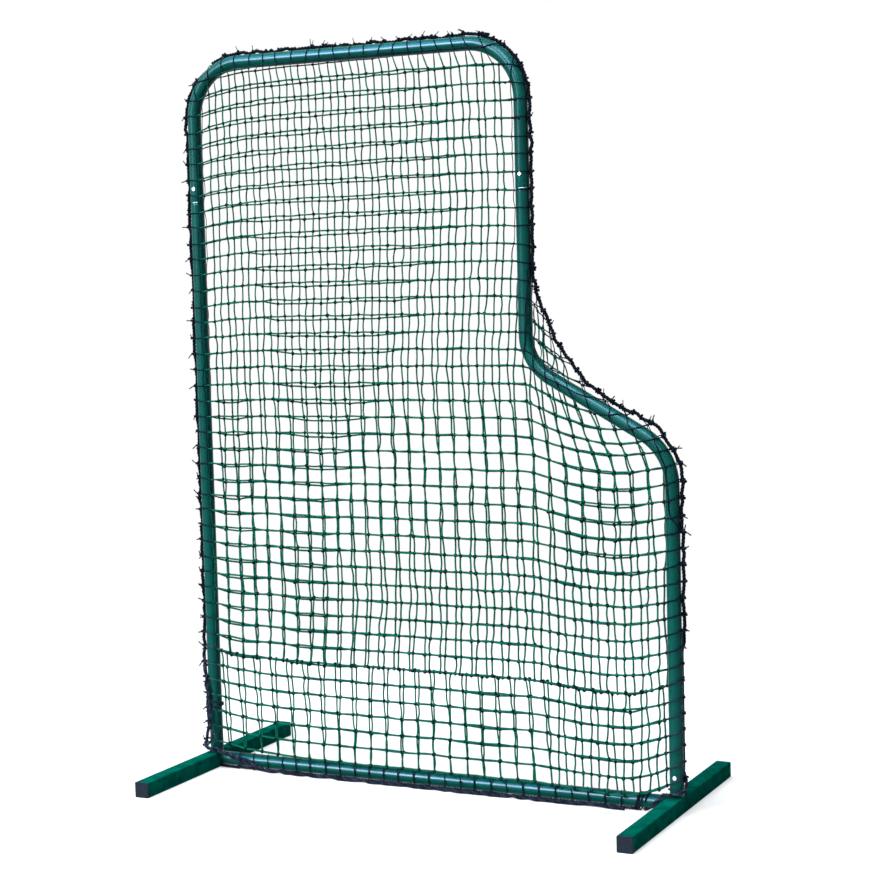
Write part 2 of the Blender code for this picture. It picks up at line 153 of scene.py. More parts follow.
LOW_BACK_COLUMNS = (
    (0.1, ((0, -0.69), (4, -0.466), (20, 0.368), (21, 0.413), (27, 0.712))),
    (0.33, ((0, -0.692), (4, -0.464), (9, -0.191), (20, 0.361), (27, 0.705))),
)
# How far the back layer's rows hang below the front's: X, drop, and the height down to which they do
BACK_ROW_DROP = (
    (-0.74, 0.007),
    (-0.68, 0.009),
    (-0.57, 0.01),
    (-0.35, 0.012),
    (0.0, 0.007),
    (0.12, 0.002),
    (0.3, -0.002),
)
BACK_DROP_END = (
    (-0.57, 1.62),
    (-0.35, 0.75),
    (0.0, 1.43),
    (0.3, 1.65),
)
# Fields lower down where the back rows hang a little lower: X from and to, height from and to, drop
SLACK_FIELDS = (
    (-0.72, -0.56, 0.3, 1.15, 0.008),
    (-0.5, -0.28, 0.3, 1.2, 0.0066),
    (0.4, 0.66, 0.6, 1.0, 0.006),
    (0.08, 0.28, 0.1, 0.36, 0.005),
    (0.4, 0.66, 0.1, 0.36, 0.0045),
)
# Sag of the rows under the slope: row, and the sag in the middle of that field
RIGHT_FIELD_SAG = (
    (16, -0.12),
    (20, -0.078),
    (21, -0.067),
    (22, -0.048),
    (24, -0.043),
    (28, -0.03),
    (41, -0.013),
)
RIGHT_FIELD_START = 0.32
RIGHT_FIELD_MIDDLE = 0.58

# The rope's line where it bridges the inner bend, in the frame's plane
BRIDGE_POINTS = (
    (0.346, 1.5),
    (0.348, 1.44),
    (0.377, 1.367),
    (0.408, 1.293),
    (0.453, 1.233),
    (0.5, 1.178),
    (0.574, 1.122),
    (0.65, 1.085),
    (0.698, 1.056),
    (0.728, 1.019),
    (0.755, 0.976),
    (0.768, 0.93),
)


def srgb(red, green, blue):
    """A colour given as 0 to 255, as Blender's linear colour."""
    channels = []
    for value in (red, green, blue):
        share = value / 255
        channels.append(share / 12.92 if share <= 0.04045 else ((share + 0.055) / 1.055) ** 2.4)
    return (*channels, 1.0)


def mix_of(table, place):
    """The value at place, in a table of (place, value) in rising order, carried on past its ends."""
    places = [entry[0] for entry in table]
    values = [entry[1] for entry in table]
    index = 1
    while index < len(places) - 1 and place > places[index]:
        index += 1
    share = (place - places[index - 1]) / (places[index] - places[index - 1])
    return values[index - 1] + share * (values[index] - values[index - 1])


def held(value):
    """The value, or each value of an array, kept from 0 to 1."""
    return np.clip(value, 0.0, 1.0)


def add_object(name, data):
    """A new object in the scene."""
    added = bpy.data.objects.new(name, data)
    bpy.context.scene.collection.objects.link(added)
    return added


class Heap:
    """Vertices and faces gathered for one piece, with how far along and round its strand each corner is."""

    def __init__(self):
        self.points = []
        self.faces = []
        self.runs = []
        self.tints = []
        self.count = 0

    def add(self, points, faces, runs, tint=0.0):
        self.points.append(np.asarray(points, float))
        self.tints.append(np.broadcast_to(np.asarray(tint, float), (len(points),)))
        self.faces.extend([corner + self.count for corner in face] for face in faces)
        self.runs.extend(runs)
        self.count += len(points)

    def skin(self, rings, along=None, closed=False, tint=0.0):
        """Faces between rings of equal count. A closed skin joins the last ring to the first."""
        total = len(rings)
        sides = len(rings[0])
        faces = []
        runs = []
        for ring in range(total if closed else total - 1):
            start = ring * sides
            next_start = ((ring + 1) % total) * sides
            for side in range(sides):
                after = (side + 1) % sides
                faces.append((start + side, start + after, next_start + after, next_start + side))
                if along is None:
                    runs.extend([(0.0, 0.0)] * 4)
                else:
                    low, high = along[ring], along[ring + 1]
                    left, right = side / sides, (side + 1) / sides
                    runs.extend([(low, left), (low, right), (high, right), (high, left)])
        self.add(np.concatenate(rings), faces, runs, tint)

    def close(self, sides):
        """End faces for the skin that was added last, whose rings have this many sides."""
        last = self.count - sides
        first = self.count - len(self.points[-1])
        self.faces.append(list(range(first, first + sides))[::-1])
        self.faces.append(list(range(last, last + sides)))
        self.runs.extend([(0.0, 0.0)] * (2 * sides))

    def mesh(self, name):
        mesh = bpy.data.meshes.new(name)
        mesh.from_pydata(np.concatenate(self.points).tolist(), [], self.faces)
        return mesh

    def build(self, name, material, body="screen", smooth=True):
        mesh = self.mesh(name)
        run = mesh.uv_layers.new(name="run")
        run.data.foreach_set("uv", np.asarray(self.runs, float).ravel())
        tint = mesh.attributes.new("tint", "FLOAT", "POINT")
        tint.data.foreach_set("value", np.concatenate(self.tints))
        mesh.polygons.foreach_set("use_smooth", [smooth] * len(mesh.polygons))
        mesh.materials.append(material)
        piece = add_object(name, mesh)
        if body is not None:
            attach(piece, body)
        return piece


def headings_of(line):
    ahead = np.empty_like(line)
    ahead[1:-1] = line[2:] - line[:-2]
    ahead[0] = line[1] - line[0]
    ahead[-1] = line[-1] - line[-2]
    return ahead / np.linalg.norm(ahead, axis=1)[:, None]


def sides_of(ahead):
    """Two directions square to each heading and to each other, carried along without twist."""
    side = np.cross(ahead[0], (0.0, 1.0, 0.0))
    if np.linalg.norm(side) < 0.2:
        side = np.cross(ahead[0], (1.0, 0.0, 0.0))
    sides = np.empty_like(ahead)
    for number, heading in enumerate(ahead):
        side = side - heading * side.dot(heading)
        side = side / math.sqrt(side.dot(side))
        sides[number] = side
    return sides, np.cross(ahead, sides)


def lengths_along(line):
    """How far along a line each of its points lies."""
    steps = np.linalg.norm(np.diff(line, axis=0), axis=1)
    return np.concatenate([[0.0], np.cumsum(steps)])


def turns_of(count):
    """The angles of one full turn in equal steps."""
    return np.arange(count) * 2 * math.pi / count


def sweep(heap, points, radius, sides=6, tint=0.0):
    """A round strand along points, closed at both ends."""
    line = np.asarray(points, float)
    first, second = sides_of(headings_of(line))
    angles = turns_of(sides)[None, :, None]
    radii = np.broadcast_to(np.asarray(radius, float), (len(line),))[:, None, None]
    rings = line[:, None] + radii * (np.cos(angles) * first[:, None] + np.sin(angles) * second[:, None])
    tints = np.repeat(np.broadcast_to(np.asarray(tint, float), (len(line),)), sides)
    heap.skin(rings, lengths_along(line), tint=tints)
    heap.close(sides)


def smooth_line(points, step):
    """A Catmull-Rom line through points, with a point about every step."""
    knots = [np.asarray(point, float) for point in points]
    knots = [2 * knots[0] - knots[1], *knots, 2 * knots[-1] - knots[-2]]
    line = []
    for number in range(1, len(knots) - 2):
        before, start, end, after = knots[number - 1 : number + 3]
        pieces = max(1, round(float(np.linalg.norm(end - start)) / step))
        for piece in range(pieces):
            share = piece / pieces
            square = (2 * before - 5 * start + 4 * end - after) * share * share
            cube = (3 * start - before - 3 * end + after) * share**3
            line.append(0.5 * (2 * start + (end - before) * share + square + cube))
    line.append(knots[-2])
    return np.array(line)


# The frame's centre line in the X, Z plane
SLOPE_TOP_Z = SHOULDER_HEIGHT + (RIGHT_X - HOOP_X) * math.tan(SLOPE_ANGLE)
BELOW_GROUND_Z = -0.1


def bent_path(corners, radii, step=math.radians(3)):
    """Points along straight runs joined by round bends."""
    points = [Vector(corners[0])]
    for number, radius in enumerate(radii, 1):
        corner = Vector(corners[number])
        back = (Vector(corners[number - 1]) - corner).normalized()
        ahead = (Vector(corners[number + 1]) - corner).normalized()
        turn = math.pi - back.angle(ahead)
        reach = radius * math.tan(turn / 2)
        middle = corner + (back + ahead).normalized() * (radius / math.cos(turn / 2))
        start = corner + back * reach - middle
        end = corner + ahead * reach - middle
        count = max(2, round(turn / step))
        for piece in range(count + 1):
            share = piece / count
            weight_start = math.sin((1 - share) * turn) / math.sin(turn)
            weight_end = math.sin(share * turn) / math.sin(turn)
            points.append(middle + start * weight_start + end * weight_end)
    points.append(Vector(corners[-1]))
    return points


FRAME_CORNERS = [
    (LEFT_X, BELOW_GROUND_Z),
    (LEFT_X, TOP_Z),
    (HOOP_X, TOP_Z),
    (HOOP_X, SLOPE_TOP_Z),
    (RIGHT_X, SHOULDER_HEIGHT),
    (RIGHT_X, BELOW_GROUND_Z),
]
FRAME_BENDS = [TOP_CORNER_RADIUS, TOP_CORNER_RADIUS, INNER_BEND_RADIUS, SHOULDER_BEND_RADIUS]
FRAME_LINE = np.array(bent_path(FRAME_CORNERS, FRAME_BENDS))


def border_line():
    """The line that the net is laced along: the tubes' centre line, or the rope's over the inner bend."""
    bridge_top = 1.56
    first = [tuple(FRAME_LINE[0])]
    first += [tuple(point) for point in FRAME_LINE if point[0] < HOOP_X + 0.01 and point[1] > bridge_top]
    bridge = [(HOOP_X, bridge_top), (HOOP_X + 0.004, 1.53), *BRIDGE_POINTS[1:-1], (0.752, 0.94)]
    upright = [tuple(point) for point in FRAME_LINE if point[0] > RIGHT_X - 0.001]
    return np.array([*first, *bridge, *upright[-2:]])


BORDER_LINE = border_line()


def beside_line(whole, places):
    """For (X, Z) places: how far outside a line each is, the outward direction, and its foot on the line."""
    places = np.asarray(places, float).reshape(-1, 2)
    start = whole[:-1]
    way = whole[1:] - start
    lengths = (way**2).sum(axis=1)
    offsets = places[:, None] - start[None]
    shares = held((offsets * way[None]).sum(axis=2) / lengths[None])
    feet = start[None] + shares[:, :, None] * way[None]
    apart = ((places[:, None] - feet) ** 2).sum(axis=2)
    nearest = apart.argmin(axis=1)
    rows = np.arange(len(places))
    foot = feet[rows, nearest]
    heading = way[nearest] / np.sqrt(lengths[nearest])[:, None]
    outward = np.stack([-heading[:, 1], heading[:, 0]], axis=1)
    distance = ((places - foot) * outward).sum(axis=1)
    far = np.sqrt(apart[rows, nearest])
    distance = np.where(distance < 0, -far, far)
    return distance, outward, foot


def off_frame(places):
    """How far outside the tubes' centre line each (X, Z) place is."""
    return beside_line(FRAME_LINE, places)[0]


def off_border(places):
    """How far outside the line of the lacing each (X, Z) place is."""
    return beside_line(BORDER_LINE, places)[0]


# Materials
BLACK = (0, 0, 0, 1)
WHITE = (1, 1, 1, 1)


def new_material(name):
    material = bpy.data.materials.new(name)
    material.use_nodes = True
    tree = material.node_tree
    return material, tree, tree.nodes["Principled BSDF"]


def feed(node, values):
    """Gives a node's inputs their values. A value may be another node's output."""
    for name, value in values.items():
        if isinstance(value, bpy.types.NodeSocket):
            node.id_data.links.new(value, node.inputs[name])
        else:
            node.inputs[name].default_value = value


def add_node(tree, kind, values=None, **settings):
    node = tree.nodes.new(kind)
    for key, value in settings.items():
        setattr(node, key, value)
    feed(node, values or {})
    return node


def noise_of(tree, scale, detail=3.0, roughness=0.55):
    """A noise pattern fixed to the piece."""
    place = add_node(tree, "ShaderNodeTexCoord").outputs["Object"]
    values = {"Vector": place, "Scale": scale, "Detail": detail, "Roughness": roughness}
    return add_node(tree, "ShaderNodeTexNoise", values).outputs["Fac"]


def ramp_of(tree, value, stops):
    ramp = add_node(tree, "ShaderNodeValToRGB", {"Fac": value})
    elements = ramp.color_ramp.elements
    while len(elements) < len(stops):
        elements.new(0.5)
    for element, (place, colour) in zip(elements, stops):
        element.position = place
        element.color = colour
    return ramp.outputs["Color"]


def blend_of(tree, share, first, second):
    """Mixes two colours. The node's sockets for colours are inputs 6 and 7 and output 2."""
    return add_node(tree, "ShaderNodeMix", {0: share, 6: first, 7: second}, data_type="RGBA").outputs[2]


def span_of(tree, value, low, high, new_low=0.0, new_high=1.0):
    """The value, with low to high spread from new_low to new_high."""
    values = {"Value": value, "From Min": low, "From Max": high, "To Min": new_low, "To Max": new_high}
    return add_node(tree, "ShaderNodeMapRange", values).outputs["Result"]


def math_of(tree, operation, first, second):
    return add_node(tree, "ShaderNodeMath", {0: first, 1: second}, operation=operation).outputs["Value"]


def bump_of(tree, shader, height, distance, strength=1.0):
    values = {"Strength": strength, "Distance": distance, "Height": height}
    feed(shader, {"Normal": add_node(tree, "ShaderNodeBump", values).outputs["Normal"]})


def make_frame_paint():
    """Green powder coat: slight orange peel, cloudy colour and a few rubbed spots."""
    material, tree, shader = new_material("frame_paint")
    base = ramp_of(tree, noise_of(tree, 5.0, 4.0), [(0.32, srgb(0, 63, 56)), (0.68, srgb(0, 72, 65))])
    rubbed = ramp_of(tree, noise_of(tree, 55.0, 5.0, 0.7), [(0.72, BLACK), (0.8, WHITE)])
    looks = {
        "Base Color": blend_of(tree, rubbed, base, srgb(8, 80, 76)),
        "Roughness": span_of(tree, noise_of(tree, 14.0), 0.3, 0.7, 0.25, 0.31),
        "Specular IOR Level": 0.13,
        "Specular Tint": (0.5, 0.66, 0.95, 1.0),
    }
    feed(shader, looks)
    bump_of(tree, shader, noise_of(tree, 90.0, 1.0), 0.00001, 0.4)
    return material


def make_foot_paint():
    """The same paint on the feet, mottled and scuffed, with lighter worn spots."""
    material, tree, shader = new_material("foot_paint")
    cloud = noise_of(tree, 26.0, 8.0, 0.72)
    base = ramp_of(tree, cloud, [(0.3, srgb(0, 55, 45)), (0.52, srgb(1, 79, 68)), (0.72, srgb(4, 96, 84))])
    scuff = ramp_of(tree, noise_of(tree, 95.0, 6.0, 0.75), [(0.68, BLACK), (0.78, WHITE)])
    looks = {
        "Base Color": blend_of(tree, scuff, base, srgb(18, 106, 90)),
        "Roughness": span_of(tree, cloud, 0.3, 0.7, 0.34, 0.56),
        "Specular IOR Level": 0.0,
    }
    feed(shader, looks)
    bump_of(tree, shader, noise_of(tree, 160.0, 6.0, 0.7), 0.0007, 0.6)
    return material


def make_cap_plastic():
    """Dark blue-grey moulded plastic, scratched at its face."""
    material, tree, shader = new_material("cap_plastic")
    scratch = noise_of(tree, 130.0, 6.0, 0.7)
    looks = {
        "Base Color": ramp_of(tree, scratch, [(0.35, srgb(4, 13, 24)), (0.7, srgb(16, 28, 42))]),
        "Roughness": span_of(tree, scratch, 0.3, 0.7, 0.42, 0.62),
        "Specular IOR Level": 0.08,
    }
    feed(shader, looks)
    bump_of(tree, shader, scratch, 0.0004, 0.5)
    return material


def make_metal(name, colour, dark, rough):
    material, tree, shader = new_material(name)
    grain = noise_of(tree, 900.0, 4.0)
    looks = {
        "Base Color": ramp_of(tree, grain, [(0.3, dark), (0.6, colour)]),
        "Roughness": span_of(tree, grain, 0.3, 0.7, rough, rough + 0.12),
        "Metallic": 0.85,
    }
    feed(shader, looks)
    bump_of(tree, shader, grain, 0.0001, 0.3)
    return material


def make_twine(name, field, border, lit, turns, strands=3.0):
    """Twisted twine with grooves, painted darker at their bottoms as shade. Its colour goes from field to
    border to a steel blue painted highlight by the tint.
    """
    material, tree, shader = new_material(name)
    run = add_node(tree, "ShaderNodeUVMap", uv_map="run").outputs["UV"]
    parts = add_node(tree, "ShaderNodeSeparateXYZ", {"Vector": run}).outputs
    along = math_of(tree, "MULTIPLY", parts["X"], turns * 2 * math.pi)
    around = math_of(tree, "MULTIPLY", parts["Y"], strands * 2 * math.pi)
    wave = math_of(tree, "SINE", math_of(tree, "ADD", along, around), 0.0)
    height = span_of(tree, wave, -1.0, 1.0)
    tint = add_node(tree, "ShaderNodeAttribute", attribute_name="tint").outputs["Fac"]
    cloud = noise_of(tree, 38.0, 3.0)
    # The third colour, lit, is a painted highlight for strands where light falls on them.
    shades = [ramp_of(tree, cloud, [(0.3, dark), (0.72, light)]) for dark, light in (field, border, lit)]
    colour = blend_of(tree, span_of(tree, tint, 0.0, 0.5), shades[0], shades[1])
    colour = blend_of(tree, span_of(tree, tint, 0.5, 1.0), colour, shades[2])
    # Painted shade: the colour goes towards near black at the bottom of each twist's groove.
    colour_with_shaded_grooves = blend_of(tree, span_of(tree, height, 0.0, 0.5, 0.55, 0.0), colour, srgb(2, 9, 11))
    feed(shader, {"Base Color": colour_with_shaded_grooves, "Roughness": 0.62, "Specular IOR Level": 0.02})
    bump_of(tree, shader, height, 0.0009)
    return material


frame_paint = make_frame_paint()
foot_paint = make_foot_paint()
cap_plastic = make_cap_plastic()
button_steel = make_metal("button_steel", srgb(226, 226, 232), srgb(168, 170, 180), rough=0.22)
spring_steel = make_metal("spring_steel", srgb(134, 146, 152), srgb(84, 96, 104), rough=0.34)
NET_GREEN = (srgb(0, 83, 66), srgb(0, 125, 100))
# Painted shade: a darker copy of the net's green, for the shade inside each knot in the field.
SHADED_KNOT_GREEN = (srgb(0, 15, 18), srgb(0, 33, 32))
BORDER_NAVY = (srgb(1, 14, 24), srgb(13, 27, 46))
KNOT_NAVY = (srgb(5, 9, 21), srgb(40, 42, 65))
# A steel blue painted highlight, mixed into twine, knots and rope where light falls on them.
PAINTED_LIGHT_STEEL_BLUE = (srgb(38, 52, 69), srgb(84, 94, 120))
ROPE_BLACK = (srgb(0, 3, 6), srgb(4, 13, 22))
# The rope's paler navy, which it shows low down as painted light.
PAINTED_LIGHT_ROPE_NAVY = (srgb(16, 25, 38), srgb(52, 61, 84))
net_twine = make_twine("net_twine", NET_GREEN, BORDER_NAVY, PAINTED_LIGHT_STEEL_BLUE, turns=150.0)
knot_twine = make_twine("knot_twine", SHADED_KNOT_GREEN, KNOT_NAVY, PAINTED_LIGHT_STEEL_BLUE, turns=150.0)
rope_fibre = make_twine("rope_fibre", ROPE_BLACK, PAINTED_LIGHT_ROPE_NAVY, PAINTED_LIGHT_STEEL_BLUE, turns=130.0, strands=4.0)


def paint_cad_nodes():
    """Gives the feet, caps, posts and stubs their finish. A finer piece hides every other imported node."""
    for name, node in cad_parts.items():
        finish = frame_paint
        if name.endswith("_cap"):
            finish = cap_plastic
        elif name.endswith("_foot"):
            finish = foot_paint
        node.data.materials.clear()
        node.data.materials.append(finish)


# Tubes
TUBE_SIDES = 64
TUBE_STEP = 0.04
RIM_STEPS = 6
SIDEWAYS = np.array((0.0, 1.0, 0.0))


def tube_ring(place, heading, radius):
    """A ring round an (X, Z) place, square to an (X, Z) heading."""
    angles = turns_of(TUBE_SIDES)[:, None]
    second = np.cross((heading[0], 0.0, heading[1]), SIDEWAYS)
    centre = np.array((place[0], 0.0, place[1]))
    return centre + radius * (np.cos(angles) * SIDEWAYS + np.sin(angles) * second)


def tube_rings(line, radius):
    """Rings round a line in the X, Z plane."""
    places = np.array(line, float)
    return [tube_ring(place, heading, radius) for place, heading in zip(places, headings_of(places))]


def even_line(points, step):
    """More points on the straight runs, so that shading and bumps stay even."""
    line = [Vector(points[0])]
    for point in points[1:]:
        point = Vector(point)
        start = line[-1]
        count = max(1, math.ceil((point - start).length / step))
        line.extend(start.lerp(point, piece / count) for piece in range(1, count + 1))
    return line


def build_tube(name, rings, node):
    """A tube in the frame's paint, whose last ring joins its first."""
    heap = Heap()
    heap.skin(rings, closed=True)
    piece = heap.build(name, frame_paint)
    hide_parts(node)
    return piece


def tube_with_rims(name, points, node):
    """An open tube: outer skin, rounded rims and inner skin in one closed surface."""
    line = even_line(points, TUBE_STEP)
    rim = (TUBE_RADIUS - BORE_RADIUS) / 2
    outer = tube_rings(line, TUBE_RADIUS)
    inner = tube_rings(line, BORE_RADIUS)
    rounds = []
    for end, beside, sign in ((0, 1, 1), (-1, -2, -1)):
        heading = ((line[beside] - line[end]) * sign).normalized()
        base = line[end] + heading * (sign * rim)
        outer[end] = tube_ring(base, heading, TUBE_RADIUS)
        inner[end] = tube_ring(base, heading, BORE_RADIUS)
        turned = []
        for step in range(1, RIM_STEPS):
            turn = math.pi * step / RIM_STEPS
            place = base - heading * (sign * rim * math.sin(turn))
            turned.append(tube_ring(place, heading, BORE_RADIUS + rim + rim * math.cos(turn)))
        rounds.append(turned)
    near, far = rounds
    return build_tube(name, [*outer, *far, *inner[::-1], *near[::-1]], node)


def drill(piece, places):
    """Cuts round holes for the buttons through the front wall at (X, Z) places."""
    for x, z in places:
        heap = Heap()
        sweep(heap, [(x, -TUBE_RADIUS - 0.01, z), (x, -0.012, z)], BUTTON_HOLE_RADIUS, sides=32)
        cutter = add_object("drill", heap.mesh("drill"))
        cut = piece.modifiers.new("drill", "BOOLEAN")
        cut.operation = "DIFFERENCE"
        cut.solver = "EXACT"
        cut.object = cutter
        bpy.context.view_layer.update()
        shape = bpy.data.meshes.new_from_object(piece.evaluated_get(bpy.context.evaluated_depsgraph_get()))
        piece.modifiers.clear()
        piece.data = shape
        bpy.data.objects.remove(cutter)
    piece.data.set_sharp_from_angle(angle=math.radians(50))


def swaged_end():
    """Heights and radii of an upright's upper end, reduced to slide into the hoop, and of its bore."""
    bottom = HOOP_RIM_HEIGHT
    top = bottom + PLUG_LENGTH
    return [
        (bottom - 0.004, TUBE_RADIUS),
        (bottom - 0.002, TUBE_RADIUS - 0.0006),
        (bottom, PLUG_RADIUS),
        (top - 0.001, PLUG_RADIUS),
        (top, PLUG_RADIUS - 0.0008),
        (top, PLUG_BORE_RADIUS + 0.0004),
        (top - 0.001, PLUG_BORE_RADIUS),
        (bottom, PLUG_BORE_RADIUS),
        (bottom - 0.006, BORE_RADIUS),
    ]


def upright_tube(name, points, node):
    """An upright: plain lower rim, full tube, swaged upper end and the bore inside."""
    line = even_line(points, TUBE_STEP)
    rings = tube_rings(line, TUBE_RADIUS)
    for height, radius in swaged_end():
        rings.append(tube_ring(Vector((points[-1][0], height)), (0.0, 1.0), radius))
    rings.extend(tube_rings(line, BORE_RADIUS)[::-1][1:])
    return build_tube(name, rings, node)


def build_tubes():
    rim = HOOP_RIM_HEIGHT + GAP
    corners = [(LEFT_X, rim), (LEFT_X, TOP_Z), (HOOP_X, TOP_Z), (HOOP_X, rim)]
    hoop = tube_with_rims("hoop_tube", bent_path(corners, [TOP_CORNER_RADIUS] * 2), "top_hoop")
    drill(hoop, [(LEFT_X, HOOP_BUTTON_Z), (HOOP_X, HOOP_BUTTON_Z)])
    foot_top = FOOT_SIZE + GAP
    full_end = HOOP_RIM_HEIGHT - 0.006
    left = upright_tube("left_upright_tube", [(LEFT_X, foot_top), (LEFT_X, full_end)], "left_upright")
    drill(left, [(LEFT_X, HOOP_BUTTON_Z), (LEFT_X, FOOT_BUTTON_Z)])
    corners = [(RIGHT_X, foot_top), (RIGHT_X, SHOULDER_HEIGHT), (HOOP_X, SLOPE_TOP_Z), (HOOP_X, full_end)]
    path = bent_path(corners, [SHOULDER_BEND_RADIUS, INNER_BEND_RADIUS])
    right = upright_tube("right_upright_tube", path, "right_upright")
    drill(right, [(HOOP_X, HOOP_BUTTON_Z), (RIGHT_X, FOOT_BUTTON_Z)])
    tube_with_rims("crossbar_tube", [(-CROSSBAR_HALF, CROSSBAR_Z), (CROSSBAR_HALF, CROSSBAR_Z)], "crossbar")


# The net's lattice
def row_height(row, x):
    """Height of a row where the photo shows it in the frame's plane, at X."""
    middle = TOP_ROW_Z - ROW_PITCH * row
    at_left = LEFT_TUBE_ROW_Z - LEFT_TUBE_ROW_PITCH * row
    lift = (at_left - middle) * math.exp(-max(0.0, x - LEFT_X) / LEFT_LIFT_REACH)
    drop = 0.0
    if row < HOOP_ROW_COUNT:
        drop = -HOOP_ROW_DIP * math.exp(-max(0.0, HOOP_X - x) / HOOP_DIP_REACH)
    if x > RIGHT_FIELD_START:
        sag = mix_of(RIGHT_FIELD_SAG, row) * held((row - SLOPE_FIRST_ROW) / 4)
        if x < RIGHT_FIELD_MIDDLE:
            share = (x - RIGHT_FIELD_START) / (RIGHT_FIELD_MIDDLE - RIGHT_FIELD_START)
            drop += sag * math.sin(share * math.pi / 2)
        else:
            at_right = RIGHT_TUBE_ROW_Z - RIGHT_TUBE_ROW_PITCH * (row - RIGHT_TUBE_FIRST_ROW) - middle
            share = min(1.2, (x - RIGHT_FIELD_MIDDLE) / (RIGHT_X - RIGHT_FIELD_MIDDLE))
            drop += sag + (at_right - sag) * share**1.7
    return middle + lift + drop


def column_place(table, column, row, height):
    """X of a column at a height, in the frame's plane."""
    place = mix_of([(level, mix_of(pairs, column)) for level, pairs in table], height)
    if row < RIGHT_TUBE_FIRST_ROW and column > SLOPE_FIRST_COLUMN:
        share = min((column - SLOPE_FIRST_COLUMN) / 4, 1.0)
        place -= SLOPE_COLUMN_SHIFT * (RIGHT_TUBE_FIRST_ROW - row) * share
    return place


def from_photo_plane(x, z, y):
    """The true X and Z of what the camera sees at (x, z) of the frame's plane, for a point at depth y."""
    share = y / CAMERA_PLACE[1]
    return x + share * (CAMERA_PLACE[0] - x), z + share * (CAMERA_PLACE[2] - z)


class Layer:
    """One layer of the net: where its knots are and which strands join them."""

    def __init__(self, depth, seed):
        self.depth = depth
        self.front = depth < 0
        self.tables = (FRONT_COLUMNS, LOW_FRONT_COLUMNS) if self.front else (BACK_COLUMNS, LOW_BACK_COLUMNS)
        self.chance = random.Random(seed)
        self.shifts = {}

    def shift(self, key, spread):
        if key not in self.shifts:
            wander = self.chance.gauss(0.0, spread)
            self.shifts[key] = max(-2.2 * spread, min(2.2 * spread, wander))
        return self.shifts[key]

    def knot(self, section, column, row):
        """Place of a knot in the frame's own X and Z."""
        table = self.tables[section]
        z = row_height(row, column_place(table, column, row, TOP_ROW_Z - ROW_PITCH * row))
        x = column_place(table, column, row, z)
        if not self.front:
            z -= back_drop(x, z)
        x, z = from_photo_plane(x, z, self.depth)
        x += self.shift((section, column, row, "x"), spread=0.0016)
        z += self.shift((section, column, row, "z"), spread=0.001)
        return x, z


def back_drop(x, z):
    """How far the back layer's row hangs below the front's at a place in the frame's plane."""
    fade = (z - mix_of(BACK_DROP_END, max(-0.57, min(0.3, x))) + 0.1) / 0.26
    drop = mix_of(BACK_ROW_DROP, max(-0.74, min(0.3, x))) * held(fade)
    for left, right, low, high, slack in SLACK_FIELDS:
        inside = min((x - left) / 0.05, (right - x) / 0.05, (z - low) / 0.04, (high - z) / 0.04)
        drop = max(drop, slack * held(inside))
    return drop


# Above the seam and below it: first and last row, first and last column
SECTION_ROWS = ((0, SEAM_ROW), (SEAM_ROW, ROW_COUNT - 1))
SECTION_COLUMNS = ((-2, 33), (-2, 30))
STRAND_STEPS = 4


def between(start, end, bulge):
    """Points from start on the way to end, bowed aside by bulge. The end is left out."""
    start = np.asarray(start)
    way = np.asarray(end) - start
    aside = np.array((-way[1], way[0])) / max(1e-6, math.hypot(*way))
    points = []
    for step in range(STRAND_STEPS):
        bow = aside * bulge * math.sin(math.pi * step / STRAND_STEPS)
        points.append(start + way * step / STRAND_STEPS + bow)
    return points


def strand_places(layer, nodes, key, spread):
    """Points along a row or column. It bows more where the net hangs free between the tube and the rope."""
    distance = off_frame(nodes)
    places = []
    for number in range(len(nodes) - 1):
        bulge = layer.shift((*key, number, "bulge"), spread)
        if max(distance[number], distance[number + 1]) > 0.02:
            bulge = bulge * 2.5 + 0.002
        places.extend(between(nodes[number], nodes[number + 1], bulge))
    places.append(np.asarray(nodes[-1]))
    return np.array(places)


def inside_run(places):
    """The longest run of places inside the border line, with the crossings at its ends."""
    distance = off_border(places)
    edges = np.flatnonzero(np.diff([0, *(distance < 0), 0]))
    starts, ends = edges[::2], edges[1::2]
    if len(edges) == 0 or (ends - starts).max() < 2:
        return None
    longest = (ends - starts).argmax()
    first, last = starts[longest], ends[longest]

    def crossing(inner, outer):
        share = distance[inner] / (distance[inner] - distance[outer])
        return places[inner] + (places[outer] - places[inner]) * share

    run = list(places[first:last])
    if first > 0:
        run.insert(0, crossing(first, first - 1))
    if last < len(places):
        run.append(crossing(last - 1, last))
    return np.array(run), first > 0, last < len(places)


def layer_depth(layer, places):
    """Depth of the layer at places: it leans on the tube at the border and comes in to the rope past it."""
    distance = off_frame(places)
    to_border = off_border(places)
    share = held(-distance / 0.05)
    sign = -1.0 if layer.front else 1.0
    depth = sign * WRAP_RADIUS + share * (layer.depth - sign * WRAP_RADIUS)
    outside = np.clip(distance, 0.0, None)
    past = outside / np.maximum(outside - np.minimum(to_border, 0.0), 0.001)
    bridged = np.abs(depth) * (1.0 - np.where(outside > 0.0, past, 0.0) ** 1.5)
    on_tube = np.sqrt(np.clip(WRAP_RADIUS**2 - outside**2, 0.0, None))
    return sign * np.maximum(bridged, on_tube)


# What the net is laced to: (line, radius) of the rope and then of the edge twine, added as they are built
LACING_LINES = []
EDGE_TWINE_TOP = 0.47


def rope_near(place):
    """The point nearest to an (X, Z) place on the rope or the edge twine, and the radius of that."""
    on_edge = place[0] > HOOP_X + 0.2 and 0.1 < place[1] < EDGE_TWINE_TOP
    line, radius = LACING_LINES[1 if on_edge else 0]
    apart = (line[:, 0] - place[0]) ** 2 + (line[:, 2] - place[1]) ** 2
    return line[int(apart.argmin())], radius


